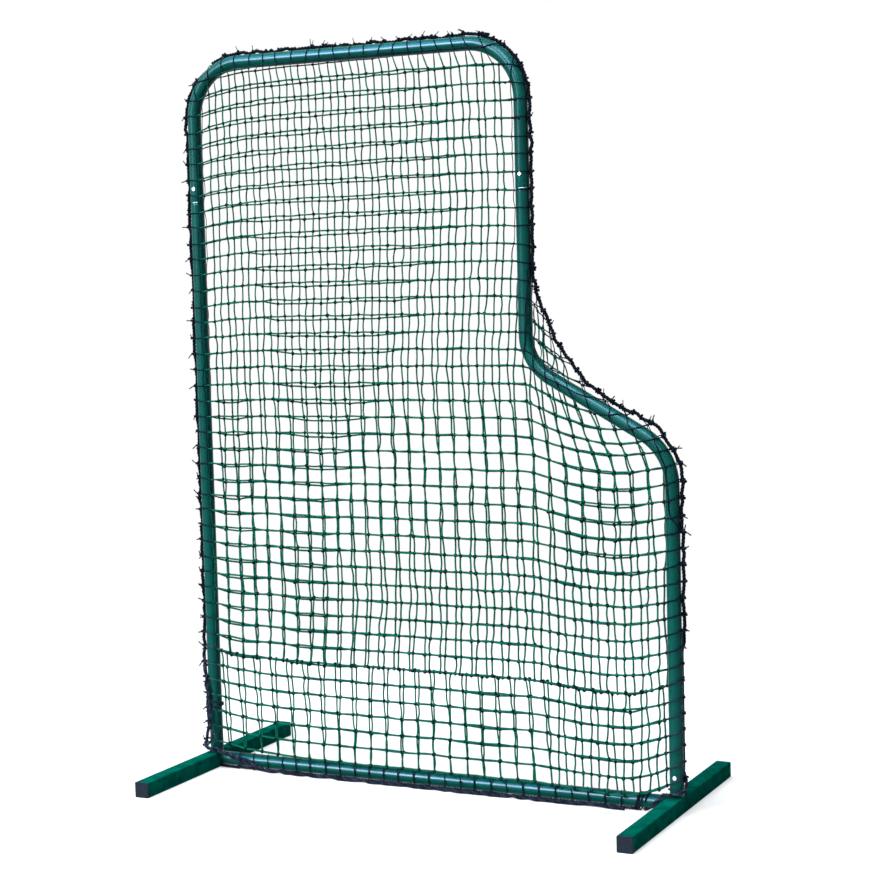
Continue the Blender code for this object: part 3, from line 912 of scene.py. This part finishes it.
class Lacing:
    """The ends of the strands: round the tube, round the rope, tied, with a cut end that sticks out."""

    def __init__(self, seed):
        self.chance = random.Random(seed)
        self.knots = []

    def around_tube(self, layer, crossing, heading):
        """Points from the tube's centre line on, for a strand that crosses it in an (X, Z) heading."""
        beside_tube, tube_outward, tube_foot = beside_line(FRAME_LINE, [crossing])
        _, outward, _ = beside_line(BORDER_LINE, [crossing])
        out = tube_outward[0] if beside_tube[0] < WRAP_RADIUS else outward[0]
        along = np.array((out[1], -out[0]))
        across = max(0.35, float(heading @ out))
        slip = max(-1.2, min(1.2, float(heading @ along) / across))
        sign = -1.0 if layer.front else 1.0
        if beside_tube[0] >= WRAP_RADIUS * 0.96:
            return self.round_rope(*rope_near(crossing), out, along, sign)
        points = []
        start_turn = math.asin(max(0.0, beside_tube[0]) / WRAP_RADIUS)
        last_turn = max(math.radians(68), start_turn + math.radians(8))
        for step in range(1, 7):
            turn = start_turn + (last_turn - start_turn) * step / 6
            slide = along * WRAP_RADIUS * (turn - start_turn) * slip
            place = tube_foot[0] + out * WRAP_RADIUS * math.sin(turn) + slide
            points.append((place[0], sign * WRAP_RADIUS * math.cos(turn), place[1]))
        goal = tube_foot[0] + out * ROPE_OFFSET + along * WRAP_RADIUS * (1.4 - start_turn) * slip
        points.extend(self.round_rope(*rope_near(goal), out, along, sign))
        return points

    def round_rope(self, rope, rope_radius, out, along, sign):
        """A turn round the rope and the cut end, which more of the front layer's strands show."""
        flat_out = np.array((out[0], 0.0, out[1]))
        flat_along = np.array((along[0], 0.0, along[1]))
        front = np.array((0.0, sign, 0.0))
        reach = rope_radius + TWINE_RADIUS
        points = []
        for step in range(9):
            turn = math.radians(120 - 42 * step)
            spot = flat_out * math.cos(turn) + front * math.sin(turn)
            points.append(rope + spot * reach + flat_along * (step - 4) * 0.0006)
        knot = rope + (flat_out * 0.8 + front * 0.6) * reach
        self.knots.append((knot, self.chance.uniform(0.62, 0.88) * (0.72 + 58 * rope_radius)))
        neat = out[0] > 0.5 and not 0.6 < rope[2] < 1.2
        if self.chance.random() < (0.12 if neat else 0.85 if sign < 0 else 0.25):
            length = self.chance.uniform(0.005, 0.01) if neat else self.chance.uniform(0.007, 0.018)
            tilt = self.chance.gauss(0.0, 0.75)
            way = flat_out * math.cos(tilt) + flat_along * math.sin(tilt)
            way = way + front * self.chance.uniform(-0.2, 0.3)
            bend = flat_along * self.chance.uniform(-0.3, 0.3)
            for step in (0.25, 0.5, 0.75, 1.0):
                points.append(knot + way * length * step + bend * length * step * step)
        return points


def knot_template():
    """Points and faces of one net knot: two small loops drawn tight through each other, at the origin."""
    wide, tall, thick = 0.0027, 0.0034, 0.0023
    heap = Heap()
    for side in (1.0, -1.0):
        loop = []
        for turn in turns_of(10):
            spot = Vector((wide * math.cos(turn), tall * math.sin(turn), 0.0))
            spot = Matrix.Rotation(math.pi / 2 + side * 0.62, 3, "X") @ spot
            loop.append(Matrix.Rotation(side * 0.7, 3, "Y") @ spot)
        loop.append(loop[0] + Vector((0.0, 0.0, 0.0002)))
        sweep(heap, loop, thick, sides=5)
    return np.concatenate(heap.points), heap.faces, heap.runs


class Knots:
    """Many knots in one piece."""

    def __init__(self, seed):
        self.chance = random.Random(seed)
        self.points, self.faces, self.runs = knot_template()
        self.heap = Heap()

    def tie(self, place, size, tint):
        turn = self.chance.uniform(-0.5, 0.5) + (math.pi / 2 if self.chance.random() < 0.5 else 0.0)
        lean = Matrix.Rotation(self.chance.uniform(-0.3, 0.3), 3, "Z")
        matrix = np.array(Matrix.Rotation(turn, 3, "Y") @ lean)
        size = size * self.chance.uniform(0.9, 1.12)
        points = self.points @ matrix.T * size + np.asarray(place, float)
        self.heap.add(points, self.faces, self.runs, tint)


def tint_over_tube(places):
    """How navy a strand looks: 0 in the field, a half on the tubes, and up to 1 low on them, where a steel
    blue painted highlight is mixed in.
    """
    distance = off_frame(places)
    over = held((distance + 0.026) / 0.01) * held((0.036 - distance) / 0.012)
    places = np.asarray(places, float).reshape(-1, 2)
    # Painted light: how much steel blue painted highlight the low strands take, less on the right.
    lit = np.where(places[:, 0] > 0.5, 0.2, 0.5)
    laced = 0.5 * held((off_border(places) + 0.036) / 0.022)
    return np.maximum(laced, over * (0.5 + lit * held((0.5 - places[:, 1]) / 0.2)))


def add_strand(layer, heap, places, lacing, radius, shade, thinning):
    """One row or column of a layer, with its ends laced to the rope."""
    found = inside_run(places)
    if found is None:
        return
    run, crosses_first, crosses_last = found
    points = [(place[0], y, place[1]) for place, y in zip(run, layer_depth(layer, run))]
    tints = list(np.maximum(tint_over_tube(run), shade))
    first_tint, last_tint = tints[0], tints[-1]
    if crosses_last:
        heading = run[-1] - run[-2]
        extra = lacing.around_tube(layer, run[-1], heading / np.linalg.norm(heading))
        points.extend(extra)
        tints.extend(np.linspace(last_tint, 0.5, len(extra)))
    if crosses_first:
        heading = run[0] - run[1]
        extra = lacing.around_tube(layer, run[0], heading / np.linalg.norm(heading))
        points = [*extra[::-1], *points]
        tints = [*np.linspace(0.5, first_tint, len(extra)), *tints]
    heights = np.array([point[2] for point in points])
    slack = 1.1 + 0.22 * held((1.5 - heights) / 0.9)
    tight = 1.0 - thinning * held((np.array(tints) - shade) / (0.5 - shade))
    sweep(heap, points, radius * slack * tight, tint=tints)


def build_layer(name, depth, seed, node):
    """A whole layer: rows, columns and knots."""
    layer = Layer(depth, seed)
    lacing = Lacing(seed + 1)
    strands = Heap()
    knots = Knots(seed + 2)
    for row in range(ROW_COUNT):
        section = 0 if row <= SEAM_ROW else 1
        low, high = SECTION_COLUMNS[section]
        nodes = [layer.knot(section, column, row) for column in range(low, high + 1)]
        places = strand_places(layer, nodes, ("row", row), spread=0.0008)
        add_strand(layer, strands, places, lacing, TWINE_RADIUS, shade=0.12, thinning=0.36)
    for section, (first_row, last_row) in enumerate(SECTION_ROWS):
        low, high = SECTION_COLUMNS[section]
        for column in range(low, high + 1):
            start = first_row - 2 if section == 0 else first_row
            nodes = [layer.knot(section, column, row) for row in range(start, last_row + 1)]
            places = strand_places(layer, nodes, ("column", section, column), spread=0.0016)
            add_strand(layer, strands, places, lacing, TWINE_RADIUS * 0.92, shade=0.0, thinning=0.48)
            for place in nodes[first_row - start :]:
                if off_border([place])[0] < 0.002:
                    y = layer_depth(layer, [place])[0]
                    tint = float(tint_over_tube([place])[0])
                    slack = 1.0 + 0.16 * held((1.5 - place[1]) / 0.9)
                    knots.tie((place[0], y, place[1]), slack - 0.35 * min(1.0, 2 * tint), tint)
    for place, size in lacing.knots:
        knots.tie(place, size, tint=0.5)
    piece = strands.build(name, net_twine)
    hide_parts(node)
    tied = knots.heap.build(f"{name}_knots", knot_twine)


# The border rope
def off_the_tube(line):
    """The line moved straight out of the frame's tubes and up from the floor where it comes too close."""
    distance, outward, _ = beside_line(FRAME_LINE, line[:, ::2])
    apart = np.hypot(distance, line[:, 1])
    short = np.clip(TUBE_RADIUS + ROPE_RADIUS - apart, 0.0, None)
    moved = line.copy()
    moved[:, ::2] += outward * (short * distance / apart)[:, None]
    moved[:, 1] += short * line[:, 1] / apart
    moved[:, 2] = np.maximum(moved[:, 2], ROPE_RADIUS + 0.0008)
    return moved


def rope_wave(points, seed, size):
    """The line pulled in at each lacing and let out between them."""
    chance = random.Random(seed)
    line = smooth_line(points, 0.006)
    ahead = headings_of(line)
    along = lengths_along(line)
    count = int(along[-1] / LACING_PITCH) + 4
    bumps = np.array([(chance.gauss(0, 1) + (1 if number % 2 else -1)) * size for number in range(count)])
    sway = np.array([chance.gauss(0, 1) * size * 0.8 for _ in range(count)])
    stations = np.arange(count) * LACING_PITCH
    out = np.stack([-ahead[:, 2], np.zeros(len(ahead)), ahead[:, 0]], axis=1)
    side = np.interp(along, stations, bumps)
    fade = held(np.minimum(along, along[-1] - along) / 0.05)
    line = line + out * (side * fade)[:, None]
    line[:, 1] += np.interp(along, stations, sway) * fade
    return smooth_line(off_the_tube(line[::3]), 0.003)


def twisted(heap, line, strand_radius, turn, tint, taper=0.0):
    """Three strands laid round a line. They thin out over the length taper before its end."""
    first, second = sides_of(headings_of(line))
    along = lengths_along(line)
    radii = np.full(len(line), strand_radius)
    if taper:
        radii *= held((along[-1] - along) / taper) * 0.65 + 0.35
    # Each strand takes a different share of the tint, so the painted light shows more on one strand than on
    # the others.
    for number, shade in enumerate((1.35, 0.75, 0.3)):
        angle = (2 * math.pi * (along / turn + number / 3))[:, None]
        course = line + 1.02 * radii[:, None] * (np.cos(angle) * first + np.sin(angle) * second)
        sweep(heap, course, radii, sides=7, tint=np.asarray(tint) * shade)


def border_points():
    """The rope's course: along the crossbar, up the left side, over the top, over the bridge and down."""
    left = LEFT_X - ROPE_OFFSET
    top = TOP_Z + ROPE_OFFSET - 0.0024
    inner = HOOP_X + ROPE_OFFSET - 0.0005
    right = RIGHT_X + ROPE_OFFSET
    corner = TOP_CORNER_RADIUS + ROPE_OFFSET
    over_top = [(left, 1.6), (left, top), (inner, top), (inner, 1.6)]
    bend = bent_path(over_top, [corner, corner], math.radians(12))
    points = [(x, -0.0365, 0.0056) for x in np.arange(0.6, -0.5, -0.1)]
    points += [(-0.535, -0.034, 0.0085), (-0.57, -0.03, 0.013), (-0.605, -0.0285, 0.0195)]
    points += [(-0.64, -0.0288, 0.027), (-0.672, -0.03, 0.038), (-0.703, -0.0312, 0.0505)]
    points += [(-0.735, -0.0318, 0.0545), (-0.758, -0.027, 0.061), (-0.764, -0.019, 0.08)]
    points += [(-0.7535, -0.0228, height) for height in (0.12, 0.17, 0.22)]
    points += [(-0.756, -0.021, 0.27), (-0.7625, -0.014, 0.33), (left, -0.003, 0.4)]
    points += [(left, 0.0, height) for height in np.arange(0.5, 1.6, 0.1)]
    points += [(x, 0.012 * held((z - 2.02) / 0.09), z) for x, z in bend]
    points += [(x, 0.0, z) for x, z in BRIDGE_POINTS]
    points += [(right, 0.0, height) for height in (0.86, 0.76, 0.66, 0.56)]
    points += [(right - 0.002, 0.008, 0.5), (right - 0.014, 0.023, 0.45)]
    points += [(0.733, 0.0265, height) for height in (0.38, 0.3, 0.22, 0.15)]
    points += [(0.757, 0.0205, 0.1), (0.768, 0.002, 0.076), (0.762, -0.02, 0.064)]
    points += [(0.742, -0.0315, 0.0565), (0.72, -0.032, 0.054), (0.702, -0.0305, 0.043)]
    points += [(0.688, -0.029, 0.029), (0.674, -0.0275, 0.015), (0.66, -0.0265, 0.008)]
    return [*points, (0.647, -0.0262, 0.0066)]


def low_rope_points():
    """The stretch under the front of the crossbar, from foot to foot."""
    ahead = [(-0.7115, -0.0232, LOW_ROPE_Z), (-0.68, -0.0238, LOW_ROPE_Z)]
    middle = [(x, LOW_ROPE_Y, LOW_ROPE_Z) for x in np.arange(-0.6, 0.61, 0.1)]
    return [*ahead, *middle, (0.642, -0.0248, 0.0068)]


def left_double_points():
    """A second rope laid along the first, low on the left side."""
    points = [(-0.769, -0.006, 0.345), (-0.764, -0.017, 0.3), (-0.747, -0.028, 0.25)]
    points += [(-0.745, -0.0285, 0.2), (-0.741, -0.03, 0.15), (-0.7345, -0.0318, 0.112)]
    return [*points, (-0.735, -0.0335, 0.09), (-0.752, -0.037, 0.066), (-0.772, -0.026, 0.056)]


def foot_double_points():
    """The rope's second part over the foot's inner edge and on along the crossbar."""
    points = [(-0.778, -0.016, 0.062), (-0.768, -0.029, 0.066), (-0.745, -0.037, 0.063)]
    points += [(-0.71, -0.0385, 0.059), (-0.672, -0.035, 0.046)]
    return [*points, (-0.63, -0.0315, 0.034), (-0.595, -0.03, 0.024), (-0.565, -0.0285, 0.019)]


def rope_tint(line):
    """The rope is near black above. Low down it takes navy and steel blue as painted light, as if lit from
    the front, with painted shade on the low rope under the crossbar and on the stretches behind the frame.
    """
    lit = held((0.42 - line[:, 2]) / 0.1) * np.where(line[:, 2] < 0.012, 0.6, 1.0)
    return (0.06 + 0.5 * lit) * np.where(line[:, 1] > 0.012, 0.3, 1.0)


def ring_turn(place, rise, lean, tube_centre):
    """One turn of thin rope wound round a vertical tube, from place upward."""
    radius = TUBE_RADIUS + 0.003
    points = []
    for step in range(21):
        turn = 2 * math.pi * step / 20
        height = place + rise * step / 20 + lean * math.cos(turn)
        points.append((tube_centre + radius * math.sin(turn), -radius * math.cos(turn), height))
    return smooth_line(points, 0.004)


def build_rope():
    heap = Heap()
    main = rope_wave(border_points(), seed=5, size=0.002)
    LACING_LINES.append((main, ROPE_RADIUS))
    twisted(heap, main, ROPE_STRAND_RADIUS, ROPE_TURN, rope_tint(main))
    low = rope_wave(low_rope_points(), seed=6, size=0.0006)
    twisted(heap, low, ROPE_STRAND_RADIUS * 0.92, ROPE_TURN, rope_tint(low))
    for number, points in enumerate((left_double_points(), foot_double_points())):
        double = rope_wave(points, seed=15 + number, size=0.0016)
        twisted(heap, double, ROPE_STRAND_RADIUS * 0.8, ROPE_TURN * 0.8, rope_tint(double), taper=0.05)
    piece = heap.build("laid_border_rope", rope_fibre)
    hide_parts("border_rope")

    heap = Heap()
    # Painted light: tints above a half mix some of the steel blue painted highlight into these low turns.
    twisted(heap, ring_turn(0.19, 0.007, 0.011, LEFT_X), 0.0014, turn=0.02, tint=0.6)
    twisted(heap, ring_turn(0.186, 0.007, -0.004, LEFT_X), 0.0014, turn=0.02, tint=0.6)
    twisted(heap, ring_turn(0.06, 0.004, 0.004, RIGHT_X), 0.0012, turn=0.02, tint=0.7)
    piece = heap.build("upright_rope_turns", rope_fibre)


def build_edge_twine():
    """The twine that edges the net low on the right, where the rope runs behind the tube."""
    x = RIGHT_X + TUBE_RADIUS + 0.0028
    points = [(x + 0.004, -0.001, 0.52), (x + 0.001, -0.002, 0.49)]
    points += [(x, 0.0, height) for height in np.arange(0.44, 0.1, -0.06)]
    line = smooth_line([*points, (x - 0.001, -0.004, 0.086)], 0.004)
    LACING_LINES.append((line, 0.0012))
    heap = Heap()
    # Painted light: a tint of 0.6 mixes a little of the steel blue painted highlight into the edge twine.
    sweep(heap, line, 0.0023, sides=8, tint=0.6)
    piece = heap.build("net_edge_twine", net_twine)


# What laces the net to the crossbar
WRAP_FIRST_X = -0.658
WRAP_PITCH = 0.0494
WRAP_COUNT = 26
LASHING_X = 0.6285
LASHING_TURNS = 3.5


def build_crossbar_wraps():
    """Twine from the net's hem round the crossbar to the rope below it: two strands in a V at each mesh."""
    heap = Heap()
    knots = Knots(31)
    chance = random.Random(30)
    radius = TWINE_RADIUS * 0.55

    def over_bar(x, degrees):
        turn = math.radians(degrees)
        z = CROSSBAR_Z + WRAP_RADIUS * math.sin(turn)
        return (x, WRAP_RADIUS * math.cos(turn), max(z, TWINE_RADIUS))

    for number in range(WRAP_COUNT):
        x, _ = from_photo_plane(WRAP_FIRST_X + WRAP_PITCH * number, 0.03, -0.02)
        x += chance.gauss(0.0, 0.002)
        lean = chance.uniform(-0.002, 0.004)
        joint = chance.uniform(168, 186)
        left = chance.uniform(0.006, 0.012)
        upper = range(86, int(joint), 12)
        points = [over_bar(x - left * (joint - degrees) / (joint - 90), degrees) for degrees in upper]
        for degrees in np.arange(joint, 231, 12):
            points.append(over_bar(x + lean * (degrees - joint) / 60, degrees))
        for turn in np.radians(range(100, 420, 40)):
            reach = ROPE_RADIUS + radius
            z = max(radius, LOW_ROPE_Z + reach * math.sin(turn))
            points.append((x + lean, LOW_ROPE_Y + reach * math.cos(turn), z))
        sweep(heap, points, radius, tint=0.5)
        right = chance.uniform(0.003, 0.008)
        second = [over_bar(x + right * (joint - degrees) / (joint - 90), degrees) for degrees in upper]
        if chance.random() < 0.7:
            # Painted light: the second strand's tint of 0.6 mixes in a little of the steel blue painted
            # highlight.
            sweep(heap, [*second, over_bar(x, joint)], radius * 0.8, tint=0.6)
        knots.tie(over_bar(x, joint), size=0.72, tint=0.4)
    piece = heap.build("crossbar_lacing", net_twine)
    tied = knots.heap.build("crossbar_lacing_knots", knot_twine)


def build_lashing():
    """Slanting turns of cord round the crossbar and the rope's ends, near the right foot."""
    heap = Heap()
    points = []
    steps = 28
    for step in range(round(LASHING_TURNS * steps) + 1):
        turn = 2 * math.pi * step / steps
        passed = step / steps
        slant = (0.004 + 0.0012 * passed) * math.sin(turn)
        y = math.cos(turn)
        z = math.sin(turn)
        swell = 0.0105 * max(0.0, -0.8 * y - 0.6 * z) ** 6
        radius = TUBE_RADIUS + 0.002 + swell
        x = LASHING_X + 0.0042 * min(passed, 2.0) + 0.0115 * max(0.0, passed - 2.0) + slant
        points.append((x, radius * y, max(0.0018, CROSSBAR_Z + radius * z)))
    sweep(heap, points, 0.0021, sides=8, tint=0.15)
    piece = heap.build("crossbar_lashing_cord", rope_fibre)
    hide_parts("crossbar_lashing")


# Buttons and springs
BUTTON_PLACES = {
    "upper_left": (LEFT_X, HOOP_BUTTON_Z),
    "upper_right": (HOOP_X, HOOP_BUTTON_Z),
    "lower_left": (LEFT_X, FOOT_BUTTON_Z),
    "lower_right": (RIGHT_X, FOOT_BUTTON_Z),
}


def build_worn_rim_highlights():
    """Bare steel on the part of the hoop's lower rims that shows: partly worn paint, partly a painted
    highlight where the rim's highlight falls.
    """
    heap = Heap()
    radius = TUBE_RADIUS - 0.0002
    height = HOOP_RIM_HEIGHT + GAP + 0.0016
    thickness = 0.0004 + 0.0013 * np.sin(np.linspace(0.05, 0.95, 25) * math.pi) ** 0.5
    # Each arc covers only where the rim's highlight falls and thins to its ends like a highlight.
    for x, first, last in ((LEFT_X, -106, -45), (HOOP_X, -107, -17)):
        angles = np.radians(np.linspace(first, last, 25))
        ring = [(x + radius * math.cos(angle), radius * math.sin(angle), height) for angle in angles]
        sweep(heap, ring, thickness, sides=8)
    piece = heap.build("worn_rim_highlights", spring_steel)


def build_bare_edges():
    """Paint worn to bare steel round the button holes that the rope leaves in view."""
    heap = Heap()
    radius = BUTTON_HOLE_RADIUS + 0.0004
    for name in ("upper_left", "upper_right", "lower_right"):
        x, z = BUTTON_PLACES[name]
        ring = []
        for turn in np.arange(49) * 2 * math.pi / 48:
            across = radius * math.cos(turn)
            ring.append((x + across, -math.sqrt(TUBE_RADIUS**2 - across**2), z + radius * math.sin(turn)))
        sweep(heap, ring, 0.0008, sides=8)
    piece = heap.build("bare_edges", button_steel)


def build_buttons():
    """Domed steel buttons, each on its own body."""
    angles = -turns_of(32)
    for name, (x, z) in BUTTON_PLACES.items():
        low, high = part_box(f"snap_button_{name}")
        front, back = low[1], high[1]
        profile = [(0.00005, front), (0.0012, front + 0.0001), (0.0024, front + 0.0005)]
        profile += [(0.0033, front + 0.0012), (0.0039, front + 0.0021), (0.004, front + 0.0026)]
        profile += [(0.004, back - 0.0009), (0.0054, back - 0.0007), (0.0055, back - 0.0003)]
        profile += [(0.0053, back), (0.00005, back)]
        rings = []
        for radius, y in profile:
            rings.append([(x + radius * math.cos(turn), y, z + radius * math.sin(turn)) for turn in angles])
        heap = Heap()
        heap.skin(rings)
        heap.close(len(angles))
        piece = heap.build(f"button_{name}", button_steel, f"{name}_button")
        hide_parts(f"snap_button_{name}")


def spring_outline():
    """The strip's section with bevelled edges: (across the strip, off its middle) pairs."""
    wide = SPRING_WIDTH / 2
    thick = SPRING_THICKNESS / 2
    edge = SPRING_THICKNESS / 4
    corner = [(wide, thick - edge), (wide - edge, thick)]
    outline = corner + [(-across, off) for across, off in corner[::-1]]
    return outline + [(-across, -off) for across, off in outline]


def spring_line(seat, heel):
    """The V's line in (Y, height): up and down behind the button, round the bend and up to the heel."""
    line = [(seat, SPRING_SEAT), (seat, -SPRING_SEAT)]
    for degrees in range(195, 346, 10):
        turn = math.radians(degrees)
        height = SPRING_BEND_RADIUS * math.sin(turn) - SPRING_LENGTH
        line.append((SPRING_BEND_RADIUS * math.cos(turn), height))
    return np.array(even_line([*line, (heel, 0.0)], 0.003))


def build_springs():
    """V springs of flat strip in the tubes, each built as one piece."""
    thick = SPRING_THICKNESS / 2
    outline = spring_outline()[::-1]
    for name, (x, z) in BUTTON_PLACES.items():
        way = 1 if name.startswith("upper") else -1
        low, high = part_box(f"snap_spring_{name}")
        seat = low[1] + thick
        line = spring_line(seat, high[1] - thick)
        rings = []
        for (y, up), (turn_y, turn_z) in zip(line, headings_of(line)):
            rings.append([])
            for across, off in outline:
                rings[-1].append((x + way * across, y - turn_z * off, z + way * (up + turn_y * off)))
        heap = Heap()
        heap.skin(rings)
        heap.close(len(rings[0]))
        piece = heap.build(f"spring_{name}", spring_steel, None, smooth=False)
        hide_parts(f"snap_spring_{name}")
        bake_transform(piece)


# Surroundings
def seen_ray_of(tree):
    """1 for a ray that shows the surface in the picture, 0 for one that only carries its light."""
    rays = add_node(tree, "ShaderNodeLightPath").outputs
    either = math_of(tree, "MAXIMUM", rays["Is Camera Ray"], rays["Is Glossy Ray"])
    return math_of(tree, "MAXIMUM", either, rays["Is Transmission Ray"])


def mix_to(output, share, first, second):
    """Sends a mix of two shader nodes to an output node."""
    sockets = {0: share, 1: first.outputs[0], 2: second.outputs[0]}
    mix = add_node(output.id_data, "ShaderNodeMixShader", sockets)
    feed(output, {"Surface": mix.outputs[0]})


def build_world():
    """A world that is white to see and gives a weak, cool light."""
    world = bpy.data.worlds.new("studio")
    bpy.context.scene.world = world
    world.use_nodes = True
    tree = world.node_tree
    tree.nodes.clear()
    seen = add_node(tree, "ShaderNodeBackground", {"Color": WHITE, "Strength": 1.0})
    light = add_node(tree, "ShaderNodeBackground", {"Color": (0.86, 0.93, 1.0, 1), "Strength": 0.24})
    mix_to(add_node(tree, "ShaderNodeOutputWorld"), seen_ray_of(tree), light, seen)


def build_floor():
    """A plain pale floor that fades out into the white."""
    material, tree, shader = new_material("floor_white")
    looks = {
        "Base Color": (0.5, 0.5, 0.5, 1),
        "Roughness": 0.9,
        "Specular IOR Level": 0.0,
        "Emission Color": WHITE,
        "Emission Strength": math_of(tree, "MULTIPLY", seen_ray_of(tree), 0.5),
    }
    feed(shader, looks)
    place = add_node(tree, "ShaderNodeTexCoord").outputs["Object"]
    length = add_node(tree, "ShaderNodeVectorMath", {0: place}, operation="LENGTH")
    far = span_of(tree, length.outputs["Value"], 1.3, 2.6)
    mix_to(tree.nodes["Material Output"], far, shader, add_node(tree, "ShaderNodeBsdfTransparent"))
    reach = 3.0
    corners = [(x * reach, y * reach, 0) for x, y in ((-1, -1), (1, -1), (1, 1), (-1, 1))]
    mesh = bpy.data.meshes.new("floor")
    mesh.from_pydata(corners, [], [(0, 1, 2, 3)])
    mesh.materials.append(material)
    add_object("floor", mesh)


def build_lamps():
    """Two soft lamps that light the object, then four that are seen only in the paint's shine."""
    cool = (0.92, 0.96, 1.0)
    blue = (0.2, 0.5, 1.0)
    lamps = (
        ("key", (-8.8, -16.2, 9.2), (0, 0, 1.3), (3.6, 11.0), 6400, (1.0, 1.0, 1.0)),
        ("sky", (-1.0, -1.3, 8.6), (0, 0, 1.0), (5.6, 4.4), 1150, (0.88, 0.95, 1.0)),
        ("front_strip", (-17.6, -33.0, 15.2), (0, 0, 1.1), (9.6, 12.0), 66000, cool),
        ("slope_strip", (1.25, -6.4, 7.4), (0.5, 0, 1.1), (3.0, 4.6), 2100, cool),
        ("top_glow", (-4.5, -5.7, 8.6), (0, 0, 1.5), (4.5, 5.2), 2700, blue),
        ("slope_glow", (2.1, -2.0, 8.7), (0.5, 0, 1.1), (3.0, 3.0), 420, blue),
    )
    for name, place, aim, size, power, colour in lamps:
        data = bpy.data.lights.new(name, "AREA")
        data.shape = "RECTANGLE"
        data.size, data.size_y = size
        data.energy = power
        data.color = colour
        lamp = add_object(name, data)
        lamp.location = place
        lamp.rotation_euler = (Vector(aim) - Vector(place)).to_track_quat("-Z", "Y").to_euler()
        lamp.visible_diffuse = name in ("key", "sky")
        lamp.visible_glossy = not lamp.visible_diffuse


def place_camera():
    """The camera that took the photo, as fitted."""
    sin_yaw, cos_yaw = math.sin(CAMERA_YAW), math.cos(CAMERA_YAW)
    sin_pitch, cos_pitch = math.sin(CAMERA_PITCH), math.cos(CAMERA_PITCH)
    forward = Vector((-sin_yaw * cos_pitch, cos_yaw * cos_pitch, -sin_pitch))
    level = Vector((cos_yaw, sin_yaw, 0.0))
    upward = level.cross(forward)
    right = math.cos(CAMERA_ROLL) * level + math.sin(CAMERA_ROLL) * upward
    up = -math.sin(CAMERA_ROLL) * level + math.cos(CAMERA_ROLL) * upward
    data = bpy.data.cameras.new("camera")
    data.sensor_fit = "HORIZONTAL"
    data.sensor_width = SENSOR_WIDTH
    data.lens = CAMERA_PIXELS * SENSOR_WIDTH / PHOTO_WIDTH
    data.clip_end = 60.0
    camera = add_object("camera", data)
    turn = Matrix((right, up, -forward)).transposed().to_4x4()
    camera.matrix_world = Matrix.Translation(CAMERA_PLACE) @ turn
    bpy.context.scene.camera = camera
    bpy.context.scene.view_settings.view_transform = "Standard"


paint_cad_nodes()
build_tubes()
build_rope()
build_edge_twine()
build_layer("front_net", FRONT_Y, 101, "net_front")
build_layer("back_net", BACK_Y, 202, "net_back")
build_crossbar_wraps()
build_lashing()
build_worn_rim_highlights()
build_bare_edges()
build_buttons()
build_springs()
build_world()
build_floor()
build_lamps()
place_camera()
